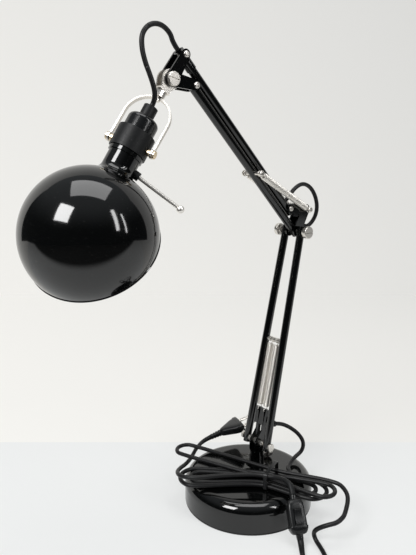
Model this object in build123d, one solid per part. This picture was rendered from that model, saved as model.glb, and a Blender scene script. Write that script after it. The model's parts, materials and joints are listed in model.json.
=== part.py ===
from build123d import *
import math
import os

# Spring-balanced desk lamp, in millimetres. +Z is up, the origin is the centre of the base's underside,
# +X is the side the head reaches over, and every arm hinge runs along +Y.

# Base
BASE_RADIUS = 75.0
BASE_HEIGHT = 34.0
BASE_EDGE_ROUND = 13.0
BASE_WALL = 1.5
PAD_THICKNESS = 2.0
PAD_INSET = 0.5
WEIGHT_GAP = 1.0
WEIGHT_HEIGHT = 16.0

# Swivel on the base
SWIVEL_X = -22.9
SWIVEL_Y = -9.5
SOCKET_RADIUS = 9.0
SOCKET_HEIGHT = 11.0
SOCKET_FLANGE_RADIUS = 14.0
SOCKET_FLANGE_THICKNESS = 2.0
SWIVEL_PIN_RADIUS = 5.0
SWIVEL_PIN_LENGTH = 24.0
RUNNING_CLEARANCE = 0.05
FACE_CLEARANCE = 0.3
KNOB_THREAD_RADIUS = 2.0
CLAMP_KNOB_RADIUS = 6.0
CLAMP_KNOB_LENGTH = 7.0

# Lower arm
PIVOT_Z = 61.0
LOWER_LENGTH = 258.0
LOWER_LEAN = 11.8
LOWER_TUBE_RADIUS = 4.5
TUBE_WALL = 0.8
LOWER_SPREAD_BOTTOM = 16.8
LOWER_SPREAD_TOP = 12.0
TUBE_OVERHANG = 6.0
PIVOT_BOLT_RADIUS = 2.5
LOWER_PIN_UP = 126.0
LOWER_ANCHOR_UP = 42.0
LOWER_SPRING_Y = 4.9
BRACKET_SHEET = 2.0
EAR_INNER = 3.5
EAR_RADIUS = 7.5
BRACKET_WEB_WIDTH = 19.0

# Elbow bracket, fixed to the lower arm
PLATE_THICKNESS = 2.0
ELBOW_PLATE_INNER = 5.0
LINK_X = 12.2
LINK_Z = 27.2
ANCHOR_X = -13.0
ANCHOR_Z = 25.0
PLATE_ROUND = 6.5
KNOB_RADIUS = 7.2
KNOB_LENGTH = 8.0
KNOB_NECK_RADIUS = 4.5
KNOB_NECK_LENGTH = 3.0
KNOB_SLOT = 1.6

# Upper arm and its parallel link
UPPER_LENGTH = 214.0
UPPER_LEAN = 44.25
UPPER_TUBE_RADIUS = 4.5
UPPER_PIN_UP = 95.0
UPPER_SPRING_Y = 11.0
PIN_RADIUS = 2.0
PIN_HEAD_RADIUS = 3.4
PIN_HEAD_LENGTH = 2.6
DOME_SHARE = 0.7
SLEEVE_RADIUS = 5.3
SLEEVE_LENGTH = 22.0
LINK_FOOT = 8.0
LINK_TOP_OVERHANG = 5.0

# Springs
SPRING_RADIUS = 3.1
SPRING_WIRE_RADIUS = 0.6
SPRING_TURNS = 24
SPRING_TAIL = 5.0

# Head bracket, clamp and yoke
HEAD_PLATE_INNER = 5.8
HEAD_PLATE_ROUND = 5.0
TILT_PLATE_ROUND = 6.8
TILT_X = 27.8
TILT_Z = 3.8
TILT_SCREW_RADIUS = 6.8
TILT_SCREW_HEAD = 3.2
CLAMP_TILT = -35.2
CLAMP_SHEET = 2.0
CLAMP_RADIUS = 9.5
CLAMP_DROP = 13.0
CLAMP_WIDTH = 12.0
STUD_RADIUS = 3.0
YOKE_DROP = 74.6
YOKE_TWIST = 38.7
YOKE_HALF_WIDTH = 22.0
YOKE_STRIP = 1.8
YOKE_STRIP_WIDTH = 4.6
YOKE_EYE_RADIUS = 4.6
YOKE_SCREW_RADIUS = 2.0
NUT_RADIUS = 5.5
NUT_LENGTH = 6.5

# Lamp head, measured along the neck from the yoke pivots, the shade lies at negative z
HEAD_TILT = 3.0
COLLAR_RADIUS = 18.2
COLLAR_TOP = 13.0
COLLAR_BOTTOM = -8.0
CAP_RADIUS = 15.0
CAP_TOP = 29.0
CAP_ROUND = 5.0
GRIP_RADIUS = 7.0
GRIP_TOP = 41.0
CORD_RADIUS = 2.4
NECK_RADIUS = 15.5
NECK_WALL = 1.4
SHADE_CENTRE = 92.1
SHADE_ASIDE = 6.8
SHADE_RADIUS = 63.0
SHADE_WALL = 1.2
SHADE_OPENING_DEPTH = 14.0
SHADE_OPENING_DIRECTION = (-0.917, 0.176, -0.357)
RIM_BEAD = 1.2
HANDLE_DIRECTION = (-0.35, 0.92, -0.16)
HANDLE_ROD_RADIUS = 1.9
HANDLE_LENGTH = 54.0
HANDLE_BALL_RADIUS = 3.8
HANDLE_ROOT_DEPTH = 22.0
GROMMET_RADIUS = 4.2
GROMMET_LENGTH = 5.0
INSULATOR_RADIUS = 13.0
INSULATOR_BOTTOM = -20.0
BULB_CAP_RADIUS = 6.8
BULB_CAP_TOP = 2.0
BULB_CAP_LENGTH = 26.0
BULB_RADIUS = 22.0
BULB_LENGTH = 58.0
BULB_NECK_RADIUS = 9.5

FOOT = (Align.CENTER, Align.CENTER, Align.MIN)


def rod(start, end, radius):
    axis = Vector(*end) - Vector(*start)
    return Plane(origin=start, z_dir=axis) * Cylinder(radius, axis.length, align=FOOT)


def cross_rod(x, z, y_from, y_to, radius):
    return rod((x, y_from, z), (x, y_to, z), radius)


def tube(start, end, radius, wall):
    return rod(start, end, radius) - rod(start, end, radius - wall)


def biarc(start, start_tangent, end, end_tangent):
    """Two arcs, tangent to each other, that leave start and reach end along the given directions."""
    span = end - start
    both = start_tangent + end_tangent
    a = 2 * (1 - start_tangent.dot(end_tangent))
    b = 2 * span.dot(both)
    c = span.dot(span)
    if a < 1e-9:
        reach = c / (2 * span.dot(end_tangent))
    else:
        reach = (-b + math.sqrt(b * b + 4 * a * c)) / (2 * a)
    middle = (start + end + (start_tangent - end_tangent) * reach) * 0.5
    return [turn_arc(start, start_tangent, middle), turn_arc(end, -end_tangent, middle, True)]


def turn_arc(start, tangent, end, reverse=False):
    chord = end - start
    if tangent.cross(chord.normalized()).length < 1e-6:
        return Line(end, start) if reverse else Line(start, end)
    normal = (chord - tangent * chord.dot(tangent)).normalized()
    radius = chord.dot(chord) / (2 * chord.dot(normal))
    centre = start + normal * radius
    middle = centre + ((start + end) * 0.5 - centre).normalized() * radius
    return ThreePointArc(end, middle, start) if reverse else ThreePointArc(start, middle, end)


def wound_tube(knots, radius, name, far_apart):
    """One unbroken tube through (point, direction) knots, and its least gap to itself, printed."""
    edges = []
    ends = [(Vector(*point), Vector(*direction).normalized()) for point, direction in knots]
    for (start, leaving), (end, arriving) in zip(ends, ends[1:]):
        edges += [line.edge() for line in biarc(start, leaving, end, arriving)]
    path = Wire(edges)
    body = sweep(Plane(origin=path @ 0, z_dir=path % 0) * Circle(radius), path=path)
    samples = [tuple(edge @ (i / 4)) for edge in edges for i in range(4)]
    gap = least_gap(samples, far_apart) - 2 * radius
    filled = body.volume / (math.pi * radius**2 * path.length)
    print(name, "length", round(path.length, 1), "least gap to itself", round(gap, 2), "filled", round(filled, 4))
    return body


def least_gap(samples, far_apart):
    """Smallest distance between samples that are more than far_apart steps from each other."""
    best = 1e9
    for i, p in enumerate(samples):
        for q in samples[i + far_apart:]:
            best = min(best, math.dist(p, q))
    return best


def spring(start, end, name):
    """Tension spring: straight tails on its axis and a close helix between them."""
    axis = Vector(*end) - Vector(*start)
    turns = SPRING_TURNS
    lead_in = SPRING_TAIL + SPRING_RADIUS
    pitch = (axis.length - 2 * lead_in) / turns
    rise = pitch / (2 * math.pi * SPRING_RADIUS)
    knots = [((0, 0, 0), (0, 0, 1)), ((0, 0, SPRING_TAIL), (0, 0, 1))]
    for i in range(4 * turns + 1):
        angle = math.pi / 2 * i
        c = math.cos(angle)
        s = math.sin(angle)
        knots.append(((SPRING_RADIUS * c, SPRING_RADIUS * s, lead_in + pitch * i / 4), (-s, c, rise)))
    knots.append(((0, 0, axis.length - SPRING_TAIL), (0, 0, 1)))
    knots.append(((0, 0, axis.length), (0, 0, 1)))
    return Plane(origin=start, z_dir=axis) * wound_tube(knots, SPRING_WIRE_RADIUS, name, 24)


SWIVEL = Location((SWIVEL_X, SWIVEL_Y, 0))
PIVOT = Location((SWIVEL_X, SWIVEL_Y, PIVOT_Z))
LOWER = PIVOT * Location((0, 0, 0), (0, -LOWER_LEAN, 0))
ELBOW = Location((LOWER * Location((0, 0, LOWER_LENGTH))).position)
UPPER = ELBOW * Location((0, 0, 0), (0, UPPER_LEAN, 0))
LINK = ELBOW * Location((LINK_X, 0, LINK_Z), (0, UPPER_LEAN, 0))
HEAD_BRACKET = Location((UPPER * Location((0, 0, UPPER_LENGTH))).position)
TILT = HEAD_BRACKET * Location((TILT_X, 0, TILT_Z))
CLAMP = TILT * Location((0, 0, 0), (0, CLAMP_TILT, 0))
YOKE = CLAMP * Location((0, 0, -YOKE_DROP), (0, 0, YOKE_TWIST))
HEAD = YOKE * Location((0, 0, 0), (0, HEAD_TILT, 0))

PARTS = {}


def keep(name, shape):
    PARTS[name] = shape
    return shape


def ring(outer, inner, z_from, z_to):
    return tube((0, 0, z_from), (0, 0, z_to), outer, outer - inner)


def plate(discs, y_from, y_to):
    """Flat plate across Y whose outline wraps each pair of neighbouring (x, z, radius) discs."""
    face = None
    for (ax, az, ar), (bx, bz, br) in zip(discs, discs[1:]):
        circles = [Pos(ax, az) * Circle(ar), Pos(bx, bz) * Circle(br)]
        leg = make_hull([circle.edge() for circle in circles])
        face = leg if face is None else face + leg
    flat = Plane(origin=(0, y_from, 0), x_dir=(1, 0, 0), z_dir=(0, -1, 0)) * face
    return extrude(flat, amount=y_from - y_to)


def bolt(x, z, half_length, radius, head_radius, head_length):
    shank = cross_rod(x, z, -half_length, half_length, radius)
    near = domed_head(x, z, half_length - head_length, half_length, head_radius)
    far = domed_head(x, z, head_length - half_length, -half_length, head_radius)
    return shank + near + far


def domed_head(x, z, y_from, y_to, radius):
    head = cross_rod(x, z, y_from, y_to, radius)
    outer = head.edges().group_by(Axis.Y)[-1 if y_to > y_from else 0]
    return fillet(outer, DOME_SHARE * abs(y_to - y_from))


# Base: cover, weight and pad
def base():
    cover = Pos(0, 0, PAD_THICKNESS) * Cylinder(BASE_RADIUS, BASE_HEIGHT - PAD_THICKNESS, align=FOOT)
    cover = fillet(cover.edges().group_by(Axis.Z)[-1], BASE_EDGE_ROUND)
    hollow_height = BASE_HEIGHT - PAD_THICKNESS - BASE_WALL
    hollow = Pos(0, 0, PAD_THICKNESS) * Cylinder(BASE_RADIUS - BASE_WALL, hollow_height, align=FOOT)
    hollow = fillet(hollow.edges().group_by(Axis.Z)[-1], BASE_EDGE_ROUND - BASE_WALL)
    passage = SWIVEL * rod((0, 0, PAD_THICKNESS), (0, 0, BASE_HEIGHT), SWIVEL_PIN_RADIUS + FACE_CLEARANCE)
    keep("base_cover", cover - hollow - passage)
    keep("base_pad", Cylinder(BASE_RADIUS - PAD_INSET, PAD_THICKNESS, align=FOOT))
    weight = Cylinder(BASE_RADIUS - BASE_WALL - WEIGHT_GAP, WEIGHT_HEIGHT, align=FOOT)
    keep("base_weight", Pos(0, 0, PAD_THICKNESS) * weight)


# Swivel socket with its clamp screw
SOCKET_TOP = BASE_HEIGHT + SOCKET_HEIGHT
SCREW_Z = SOCKET_TOP - 4.0


def swivel_socket():
    body = rod((0, 0, BASE_HEIGHT), (0, 0, SOCKET_TOP), SOCKET_RADIUS)
    body += rod((0, 0, BASE_HEIGHT), (0, 0, BASE_HEIGHT + SOCKET_FLANGE_THICKNESS), SOCKET_FLANGE_RADIUS)
    bore = rod((0, 0, BASE_HEIGHT), (0, 0, SOCKET_TOP), SWIVEL_PIN_RADIUS + RUNNING_CLEARANCE)
    thread = rod((0, 0, SCREW_Z), (-SOCKET_RADIUS, 0, SCREW_Z), KNOB_THREAD_RADIUS + RUNNING_CLEARANCE)
    keep("swivel_socket", SWIVEL * (body - bore - thread))
    tip = SWIVEL_PIN_RADIUS + 2 * FACE_CLEARANCE
    shank = rod((-tip, 0, SCREW_Z), (-SOCKET_FLANGE_RADIUS - 2, 0, SCREW_Z), KNOB_THREAD_RADIUS)
    knob_from = -SOCKET_FLANGE_RADIUS - 1
    knob = rod((knob_from, 0, SCREW_Z), (knob_from - CLAMP_KNOB_LENGTH, 0, SCREW_Z), CLAMP_KNOB_RADIUS)
    knob = fillet(knob.edges(), 0.8)
    slot = Pos(knob_from - CLAMP_KNOB_LENGTH, 0, SCREW_Z) * Box(3, KNOB_SLOT, 3 * CLAMP_KNOB_RADIUS)
    keep("socket_clamp_screw", SWIVEL * (shank + knob - slot))


# Swivel bracket: pin, saddle, two ears and the spring web, in the pivot's own frame
def swivel_bracket():
    floor = SOCKET_TOP + FACE_CLEARANCE - PIVOT_Z
    pin = rod((0, 0, floor - SWIVEL_PIN_LENGTH), (0, 0, floor + 1), SWIVEL_PIN_RADIUS)
    saddle_half = EAR_INNER + BRACKET_SHEET
    stem = rod((0, 0, floor), (0, 0, floor + 4), SOCKET_RADIUS - 1)
    lean = Location((0, 0, 0), (0, -LOWER_LEAN, 0))
    web_from = EAR_RADIUS + 14
    web_to = LOWER_ANCHOR_UP - FACE_CLEARANCE
    web = Pos(0, 0, (web_from + web_to) / 2) * Box(BRACKET_SHEET, BRACKET_WEB_WIDTH, web_to - web_from)
    bracket = pin + stem + lean * web
    for side in (1, -1):
        y_from, y_to = sorted((side * EAR_INNER, side * saddle_half))
        ear = plate([(0, 0, EAR_RADIUS), (-2.5, web_from - 7, 3.2), (-1.5, web_to - 4, 4.0)], y_from, y_to)
        foot = plate([(0, 0, EAR_RADIUS), (0, floor + EAR_RADIUS, EAR_RADIUS)], y_from, y_to)
        bracket += lean * ear
        bracket += foot
    bracket -= cross_rod(0, 0, -saddle_half, saddle_half, PIVOT_BOLT_RADIUS)
    keep("swivel_bracket", PIVOT * bracket)
    half = LOWER_SPREAD_BOTTOM + LOWER_TUBE_RADIUS + FACE_CLEARANCE
    shank = cross_rod(0, 0, -half - 3, half + 3, PIVOT_BOLT_RADIUS)
    near_head = fillet(cross_rod(0, 0, half, half + 3, 5.0).edges(), 0.8)
    far_nut = extrude(Plane(origin=(0, -half, 0), z_dir=(0, -1, 0)) * RegularPolygon(4.6, 6), amount=3)
    keep("pivot_bolt", PIVOT * (shank + near_head + far_nut))
    spacers = []
    inner_wall = LOWER_SPREAD_BOTTOM - LOWER_TUBE_RADIUS - FACE_CLEARANCE
    for y_from, y_to in [(-inner_wall, -saddle_half), (-EAR_INNER, EAR_INNER), (saddle_half, inner_wall)]:
        spacers.append(PIVOT * tube((0, y_from, 0), (0, y_to, 0), 4.0, 4.0 - PIVOT_BOLT_RADIUS))
    keep("pivot_spacers", Compound(spacers))


# Lower arm: two tubes that draw together towards the elbow
def lower_tube(side):
    foot = Vector(0, side * LOWER_SPREAD_BOTTOM, 0)
    top = Vector(0, side * LOWER_SPREAD_TOP, LOWER_LENGTH)
    along = (top - foot).normalized()
    body = tube(foot - along * TUBE_OVERHANG, top + along * TUBE_OVERHANG, LOWER_TUBE_RADIUS, TUBE_WALL)
    body -= cross_rod(0, 0, -30, 30, PIVOT_BOLT_RADIUS + RUNNING_CLEARANCE)
    return body - cross_rod(0, LOWER_LENGTH, -30, 30, PIVOT_BOLT_RADIUS)


def tube_y(up):
    return LOWER_SPREAD_BOTTOM + (LOWER_SPREAD_TOP - LOWER_SPREAD_BOTTOM) * up / LOWER_LENGTH


LEAD_EXIT_UP = 27.0
GROMMET_WALL = 1.2
GROMMET_PROUD = 3.0
ANCHOR_SPAN = math.hypot(ANCHOR_X, ANCHOR_Z)
WEB_LENGTH = 12.5
WEB_RISE = 1.25
WEB_TURN = math.degrees(math.atan2(ANCHOR_X, ANCHOR_Z))
WEB = ELBOW * Location((ANCHOR_X / 2, 0, ANCHOR_Z / 2), (0, WEB_TURN, 0)) * Location((1 - PLATE_ROUND, 0, -2))


def grommet(up):
    """Ring on the near tube's back where the cord goes through its wall."""
    y = tube_y(up)
    start = (-LOWER_TUBE_RADIUS + TUBE_WALL, y, up)
    end = (-LOWER_TUBE_RADIUS - GROMMET_PROUD, y, up)
    return tube(start, end, CORD_RADIUS + GROMMET_WALL, GROMMET_WALL)


def lower_arm():
    pin_half = tube_y(LOWER_PIN_UP) - LOWER_TUBE_RADIUS + TUBE_WALL
    pin = cross_rod(0, LOWER_PIN_UP, -pin_half, pin_half, PIN_RADIUS)
    for y in (LOWER_SPRING_Y + 2.2, -LOWER_SPRING_Y - 2.2, 0):
        pin += cross_rod(0, LOWER_PIN_UP, y - 0.8, y + 0.8, PIN_HEAD_RADIUS - 0.4)
    web_face = -PLATE_THICKNESS / 2
    entry = tube((web_face, 0, 0), (web_face - GROMMET_PROUD, 0, 0), CORD_RADIUS + GROMMET_WALL, GROMMET_WALL)
    exit_y = tube_y(LEAD_EXIT_UP)
    exit_end = (-2 * LOWER_TUBE_RADIUS, exit_y, LEAD_EXIT_UP)
    near = lower_tube(1) - pin
    near -= rod((0, exit_y, LEAD_EXIT_UP), exit_end, CORD_RADIUS + GROMMET_WALL)
    keep("near_lower_tube", LOWER * near)
    keep("far_lower_tube", LOWER * (lower_tube(-1) - pin))
    keep("lower_spring_pin", LOWER * pin)
    keep("cord_grommets", Compound([LOWER * grommet(LEAD_EXIT_UP), WEB * entry]))
    foot = (LOWER * Location((0, LOWER_SPRING_Y, LOWER_ANCHOR_UP))).position
    top = (LOWER * Location((0, LOWER_SPRING_Y, LOWER_PIN_UP - PIN_RADIUS - FACE_CLEARANCE))).position
    coil = keep("near_lower_spring", spring(foot, top, "lower spring"))
    keep("far_lower_spring", Pos(0, -2 * LOWER_SPRING_Y, 0) * coil)


# Elbow: bracket fixed to the lower arm, its bolts and the two knobs
KNOB_FROM = LOWER_SPREAD_TOP + LOWER_TUBE_RADIUS + 2 * FACE_CLEARANCE


def elbow():
    plates = None
    outline = [(0, 0, PLATE_ROUND), (ANCHOR_X, ANCHOR_Z, PLATE_ROUND), (LINK_X, LINK_Z, PLATE_ROUND - 1)]
    for side in (1, -1):
        y_from, y_to = sorted((side * ELBOW_PLATE_INNER, side * (ELBOW_PLATE_INNER + PLATE_THICKNESS)))
        leaf = plate(outline, y_from, y_to)
        plates = leaf if plates is None else plates + leaf
    plates += cross_rod(ANCHOR_X, ANCHOR_Z, -ELBOW_PLATE_INNER, ELBOW_PLATE_INNER, PLATE_ROUND - 2)
    anchor = bolt(ANCHOR_X, ANCHOR_Z, UPPER_SPRING_Y + 4.5, PIN_RADIUS, PIN_HEAD_RADIUS, PIN_HEAD_LENGTH)
    link_half = ELBOW_PLATE_INNER + PLATE_THICKNESS + 1.6
    link_bolt = bolt(LINK_X, LINK_Z, link_half, 1.6, 3.0, 1.6)
    bolt_half = KNOB_FROM + KNOB_LENGTH - 1.5
    elbow_bolt = cross_rod(0, 0, -bolt_half, bolt_half, PIVOT_BOLT_RADIUS)
    plates = ELBOW * (plates - anchor - link_bolt - elbow_bolt)
    web = Pos(0, 0, WEB_RISE) * Box(PLATE_THICKNESS, 2 * ELBOW_PLATE_INNER, WEB_LENGTH)
    keep("elbow_bracket", plates + WEB * web)
    keep("elbow_bolt", ELBOW * elbow_bolt)
    keep("upper_spring_anchor", ELBOW * anchor)
    keep("link_bolt", ELBOW * link_bolt)
    for side, name in ((1, "near_elbow_knob"), (-1, "far_elbow_knob")):
        start = side * KNOB_FROM
        neck = cross_rod(0, 0, start, start + side * KNOB_NECK_LENGTH, KNOB_NECK_RADIUS)
        grip_from = start + side * KNOB_NECK_LENGTH
        grip = cross_rod(0, 0, grip_from, start + side * KNOB_LENGTH, KNOB_RADIUS)
        grip = fillet(grip.edges(), 0.9)
        slot = Pos(0, start + side * KNOB_LENGTH, 0) * Box(3 * KNOB_RADIUS, 2.4, KNOB_SLOT)
        bore = cross_rod(0, 0, start, start + side * (KNOB_LENGTH - 1.4), PIVOT_BOLT_RADIUS + RUNNING_CLEARANCE)
        keep(name, ELBOW * (neck + grip - bore - slot))


LINK_CORD_UP = 8.0


# Upper arm: the carrying tube, its spring pin and the parallel link with its sleeve
def upper_arm():
    body = tube((0, 0, -TUBE_OVERHANG), (0, 0, UPPER_LENGTH + TUBE_OVERHANG), UPPER_TUBE_RADIUS, TUBE_WALL)
    body -= cross_rod(0, 0, -20, 20, PIVOT_BOLT_RADIUS + RUNNING_CLEARANCE)
    body -= cross_rod(0, UPPER_LENGTH, -20, 20, 1.6 + RUNNING_CLEARANCE)
    pin = bolt(0, UPPER_PIN_UP, UPPER_SPRING_Y + 4.5, PIN_RADIUS, PIN_HEAD_RADIUS, PIN_HEAD_LENGTH)
    keep("upper_arm_tube", UPPER * (body - pin))
    keep("upper_spring_pin", UPPER * pin)
    top = UPPER_LENGTH + LINK_TOP_OVERHANG
    link = tube((0, 0, -LINK_FOOT), (0, 0, top), UPPER_TUBE_RADIUS, TUBE_WALL)
    link -= cross_rod(0, 0, -20, 20, 1.6 + RUNNING_CLEARANCE)
    link -= cross_rod(0, UPPER_LENGTH, -20, 20, 1.6 + RUNNING_CLEARANCE)
    link -= rod((0, 0, LINK_CORD_UP), (-9, 0, LINK_CORD_UP), CORD_RADIUS + 0.2)
    sleeve = tube((0, 0, top - SLEEVE_LENGTH), (0, 0, top), SLEEVE_RADIUS, SLEEVE_RADIUS - UPPER_TUBE_RADIUS)
    sleeve -= cross_rod(0, UPPER_LENGTH, -20, 20, 1.6 + RUNNING_CLEARANCE)
    keep("link_tube", LINK * link)
    keep("link_sleeve", LINK * sleeve)
    anchor = ELBOW * Location((ANCHOR_X, 0, ANCHOR_Z))
    hook = UPPER * Location((0, 0, UPPER_PIN_UP))
    reach = (hook.position - anchor.position).normalized() * (PIN_RADIUS + FACE_CLEARANCE)
    aside = Vector(0, UPPER_SPRING_Y, 0)
    coil = spring(anchor.position + reach + aside, hook.position - reach + aside, "upper spring")
    keep("near_upper_spring", coil)
    keep("far_upper_spring", Pos(0, -2 * UPPER_SPRING_Y, 0) * coil)


# Head bracket with its pivot screws and the slotted tilt screw
def head_bracket():
    outer = HEAD_PLATE_INNER + PLATE_THICKNESS
    outline = [(0, 0, HEAD_PLATE_ROUND), (TILT_X, TILT_Z, TILT_PLATE_ROUND), (LINK_X, LINK_Z, HEAD_PLATE_ROUND)]
    cross_bolt = bolt(0, 0, outer + 2.2, 1.6, 3.2, 2.2)
    tilt_shank = cross_rod(TILT_X, TILT_Z, -outer - 3, outer + 1, STUD_RADIUS)
    tilt_head = cross_rod(TILT_X, TILT_Z, outer, outer + TILT_SCREW_HEAD, TILT_SCREW_RADIUS)
    tilt_head = fillet(tilt_head.edges().group_by(Axis.Y)[-1], 1.0)
    slot = Pos(TILT_X, outer + TILT_SCREW_HEAD, TILT_Z) * Rot(0, -12, 0) * Box(20, 2.6, KNOB_SLOT)
    far_nut = Plane(origin=(TILT_X, -outer, TILT_Z), z_dir=(0, -1, 0)) * RegularPolygon(5.5, 6)
    tilt_screw = tilt_shank + tilt_head - slot + extrude(far_nut, amount=3)
    screws = [HEAD_BRACKET * cross_bolt]
    for side in (1, -1):
        shank = cross_rod(LINK_X, LINK_Z, side * (UPPER_TUBE_RADIUS - 0.6), side * outer, 1.6)
        cap = domed_head(LINK_X, LINK_Z, side * outer, side * (outer + 2.2), 3.2)
        screws.append(HEAD_BRACKET * (shank + cap))
    leaves = []
    for side, name in ((1, "near_head_plate"), (-1, "far_head_plate")):
        y_from, y_to = sorted((side * HEAD_PLATE_INNER, side * outer))
        leaf = plate(outline, y_from, y_to) - cross_bolt - tilt_screw
        leaf -= cross_rod(LINK_X, LINK_Z, -outer, outer, 1.6)
        keep(name, HEAD_BRACKET * leaf)
    keep("head_screws", Compound(screws))
    keep("tilt_screw", HEAD_BRACKET * tilt_screw)


# Nickel clamp that tilts on the slotted screw, its stud, and the strip yoke below it
CLAMP_CHEEK_OUTER = HEAD_PLATE_INNER - FACE_CLEARANCE
YOKE_ARCH = YOKE_HALF_WIDTH + YOKE_STRIP
YOKE_LEG = YOKE_DROP - CLAMP_DROP - CLAMP_SHEET / 2 - NUT_LENGTH - FACE_CLEARANCE - YOKE_ARCH
RIVET_HEAD = 1.5
RIVET_RADIUS = 3.2


def clamp_and_yoke():
    cheek_inner = CLAMP_CHEEK_OUTER - CLAMP_SHEET
    clamp = Pos(0, 0, -CLAMP_DROP) * Box(CLAMP_WIDTH, 2 * CLAMP_CHEEK_OUTER, CLAMP_SHEET)
    for side in (1, -1):
        y_from, y_to = sorted((side * cheek_inner, side * CLAMP_CHEEK_OUTER))
        clamp += plate([(0, 0, CLAMP_RADIUS), (0, -CLAMP_DROP + 5, CLAMP_WIDTH / 2)], y_from, y_to)
    clamp -= cross_rod(0, 0, -20, 20, STUD_RADIUS + RUNNING_CLEARANCE)
    below = -CLAMP_DROP - CLAMP_SHEET / 2 - 20
    clamp = clamp - Pos(0, 0, below) * Box(40, 40, 40)
    clamp -= rod((0, 0, -CLAMP_DROP - 5), (0, 0, -CLAMP_DROP + 5), YOKE_SCREW_RADIUS)
    keep("head_clamp", CLAMP * clamp)
    yoke_top = YOKE_LEG + YOKE_HALF_WIDTH + YOKE_STRIP - YOKE_DROP
    yoke_under = yoke_top - YOKE_STRIP
    web_under = -CLAMP_DROP - CLAMP_SHEET / 2
    web_top = -CLAMP_DROP + CLAMP_SHEET / 2
    stud = rod((0, 0, yoke_under - FACE_CLEARANCE - RIVET_HEAD), (0, 0, web_top), YOKE_SCREW_RADIUS)
    stud += rod((0, 0, yoke_under - FACE_CLEARANCE - RIVET_HEAD), (0, 0, yoke_under - FACE_CLEARANCE), RIVET_RADIUS)
    stud += rod((0, 0, web_top), (0, 0, web_top + 2), RIVET_RADIUS)
    keep("yoke_stud", CLAMP * stud)
    nut_face = Plane(origin=(0, 0, yoke_top + FACE_CLEARANCE)) * RegularPolygon(NUT_RADIUS, 12)
    nut = extrude(nut_face, amount=web_under - yoke_top - FACE_CLEARANCE)
    nut -= rod((0, 0, yoke_top), (0, 0, web_under), YOKE_SCREW_RADIUS)
    keep("stud_nut", CLAMP * nut)
    yoke_strip()


def yoke_strip():
    outer = YOKE_HALF_WIDTH + YOKE_STRIP
    arch = Pos(0, YOKE_LEG) * (Circle(outer) - Circle(YOKE_HALF_WIDTH))
    arch = arch & (Pos(0, YOKE_LEG + outer) * Rectangle(4 * outer, 2 * outer))
    leg_y = YOKE_HALF_WIDTH + YOKE_STRIP / 2
    for side in (1, -1):
        arch += Pos(side * leg_y, YOKE_LEG / 2) * Rectangle(YOKE_STRIP, YOKE_LEG)
    face = Plane(origin=(-YOKE_STRIP_WIDTH / 2, 0, 0), x_dir=(0, 1, 0), z_dir=(1, 0, 0)) * arch
    strip = extrude(face, amount=YOKE_STRIP_WIDTH)
    for side in (1, -1):
        strip += cross_rod(0, 0, side * YOKE_HALF_WIDTH, side * outer, YOKE_EYE_RADIUS)
    strip -= cross_rod(0, 0, -2 * outer, 2 * outer, YOKE_SCREW_RADIUS)
    strip -= rod((0, 0, YOKE_LEG), (0, 0, YOKE_LEG + 2 * outer), YOKE_SCREW_RADIUS + RUNNING_CLEARANCE)
    keep("yoke", YOKE * strip)
    screws = []
    collar_hole = COLLAR_RADIUS - 1.8
    for side in (1, -1):
        shank = cross_rod(0, 0, side * collar_hole, side * (outer + 1), YOKE_SCREW_RADIUS)
        cap = fillet(cross_rod(0, 0, side * outer, side * (outer + 2.4), 3.8).edges(), 0.6)
        spacer = cross_rod(0, 0, side * (COLLAR_RADIUS + FACE_CLEARANCE), side * YOKE_HALF_WIDTH, 3.4)
        screws.append(YOKE * (shank + cap + spacer))
    keep("yoke_screws", Compound(screws))


# Lamp head on the yoke: grip, cap, collar, socket and bulb
COLLAR_INNER = NECK_RADIUS + 2 * RUNNING_CLEARANCE
FLANGE_FROM = 9.0
CAP_WALL = 1.6
WIRE_HOLE = 3.5


def lamp_head():
    collar = ring(COLLAR_RADIUS, COLLAR_INNER, COLLAR_BOTTOM, COLLAR_TOP)
    collar -= cross_rod(0, 0, -30, 30, YOKE_SCREW_RADIUS + RUNNING_CLEARANCE)
    keep("holder_collar", HEAD * collar)
    shell = rod((0, 0, FLANGE_FROM), (0, 0, CAP_TOP), CAP_RADIUS)
    shell = fillet(shell.edges().group_by(Axis.Z)[-1], CAP_ROUND)
    hollow = rod((0, 0, COLLAR_TOP), (0, 0, CAP_TOP - CAP_WALL), CAP_RADIUS - CAP_WALL)
    hollow = fillet(hollow.edges().group_by(Axis.Z)[-1], CAP_ROUND - CAP_WALL)
    shell = shell - hollow + rod((0, 0, FLANGE_FROM), (0, 0, COLLAR_TOP), COLLAR_INNER)
    keep("holder_cap", HEAD * (shell - rod((0, 0, 0), (0, 0, CAP_TOP), WIRE_HOLE)))
    grip = ring(GRIP_RADIUS, CORD_RADIUS, CAP_TOP, GRIP_TOP)
    keep("cord_grip", HEAD * grip)
    insulator = rod((0, 0, INSULATOR_BOTTOM), (0, 0, FLANGE_FROM), INSULATOR_RADIUS)
    shell_radius = BULB_CAP_RADIUS + FACE_CLEARANCE + 0.6
    contact_top = BULB_CAP_TOP + FACE_CLEARANCE + 2.0
    insulator -= rod((0, 0, INSULATOR_BOTTOM), (0, 0, contact_top), shell_radius)
    keep("socket_insulator", HEAD * insulator)
    keep("socket_thread", HEAD * ring(shell_radius, BULB_CAP_RADIUS + FACE_CLEARANCE, INSULATOR_BOTTOM + 1, 0))
    keep("centre_contact", HEAD * rod((0, 0, BULB_CAP_TOP + FACE_CLEARANCE), (0, 0, contact_top), 2.5))
    cap_foot = BULB_CAP_TOP - BULB_CAP_LENGTH
    keep("bulb_cap", HEAD * rod((0, 0, cap_foot), (0, 0, BULB_CAP_TOP), BULB_CAP_RADIUS))
    ball_z = cap_foot - BULB_LENGTH + BULB_RADIUS
    glass = Pos(0, 0, ball_z) * Sphere(BULB_RADIUS) + rod((0, 0, ball_z), (0, 0, cap_foot), BULB_NECK_RADIUS)
    keep("bulb_glass", HEAD * glass)


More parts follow.
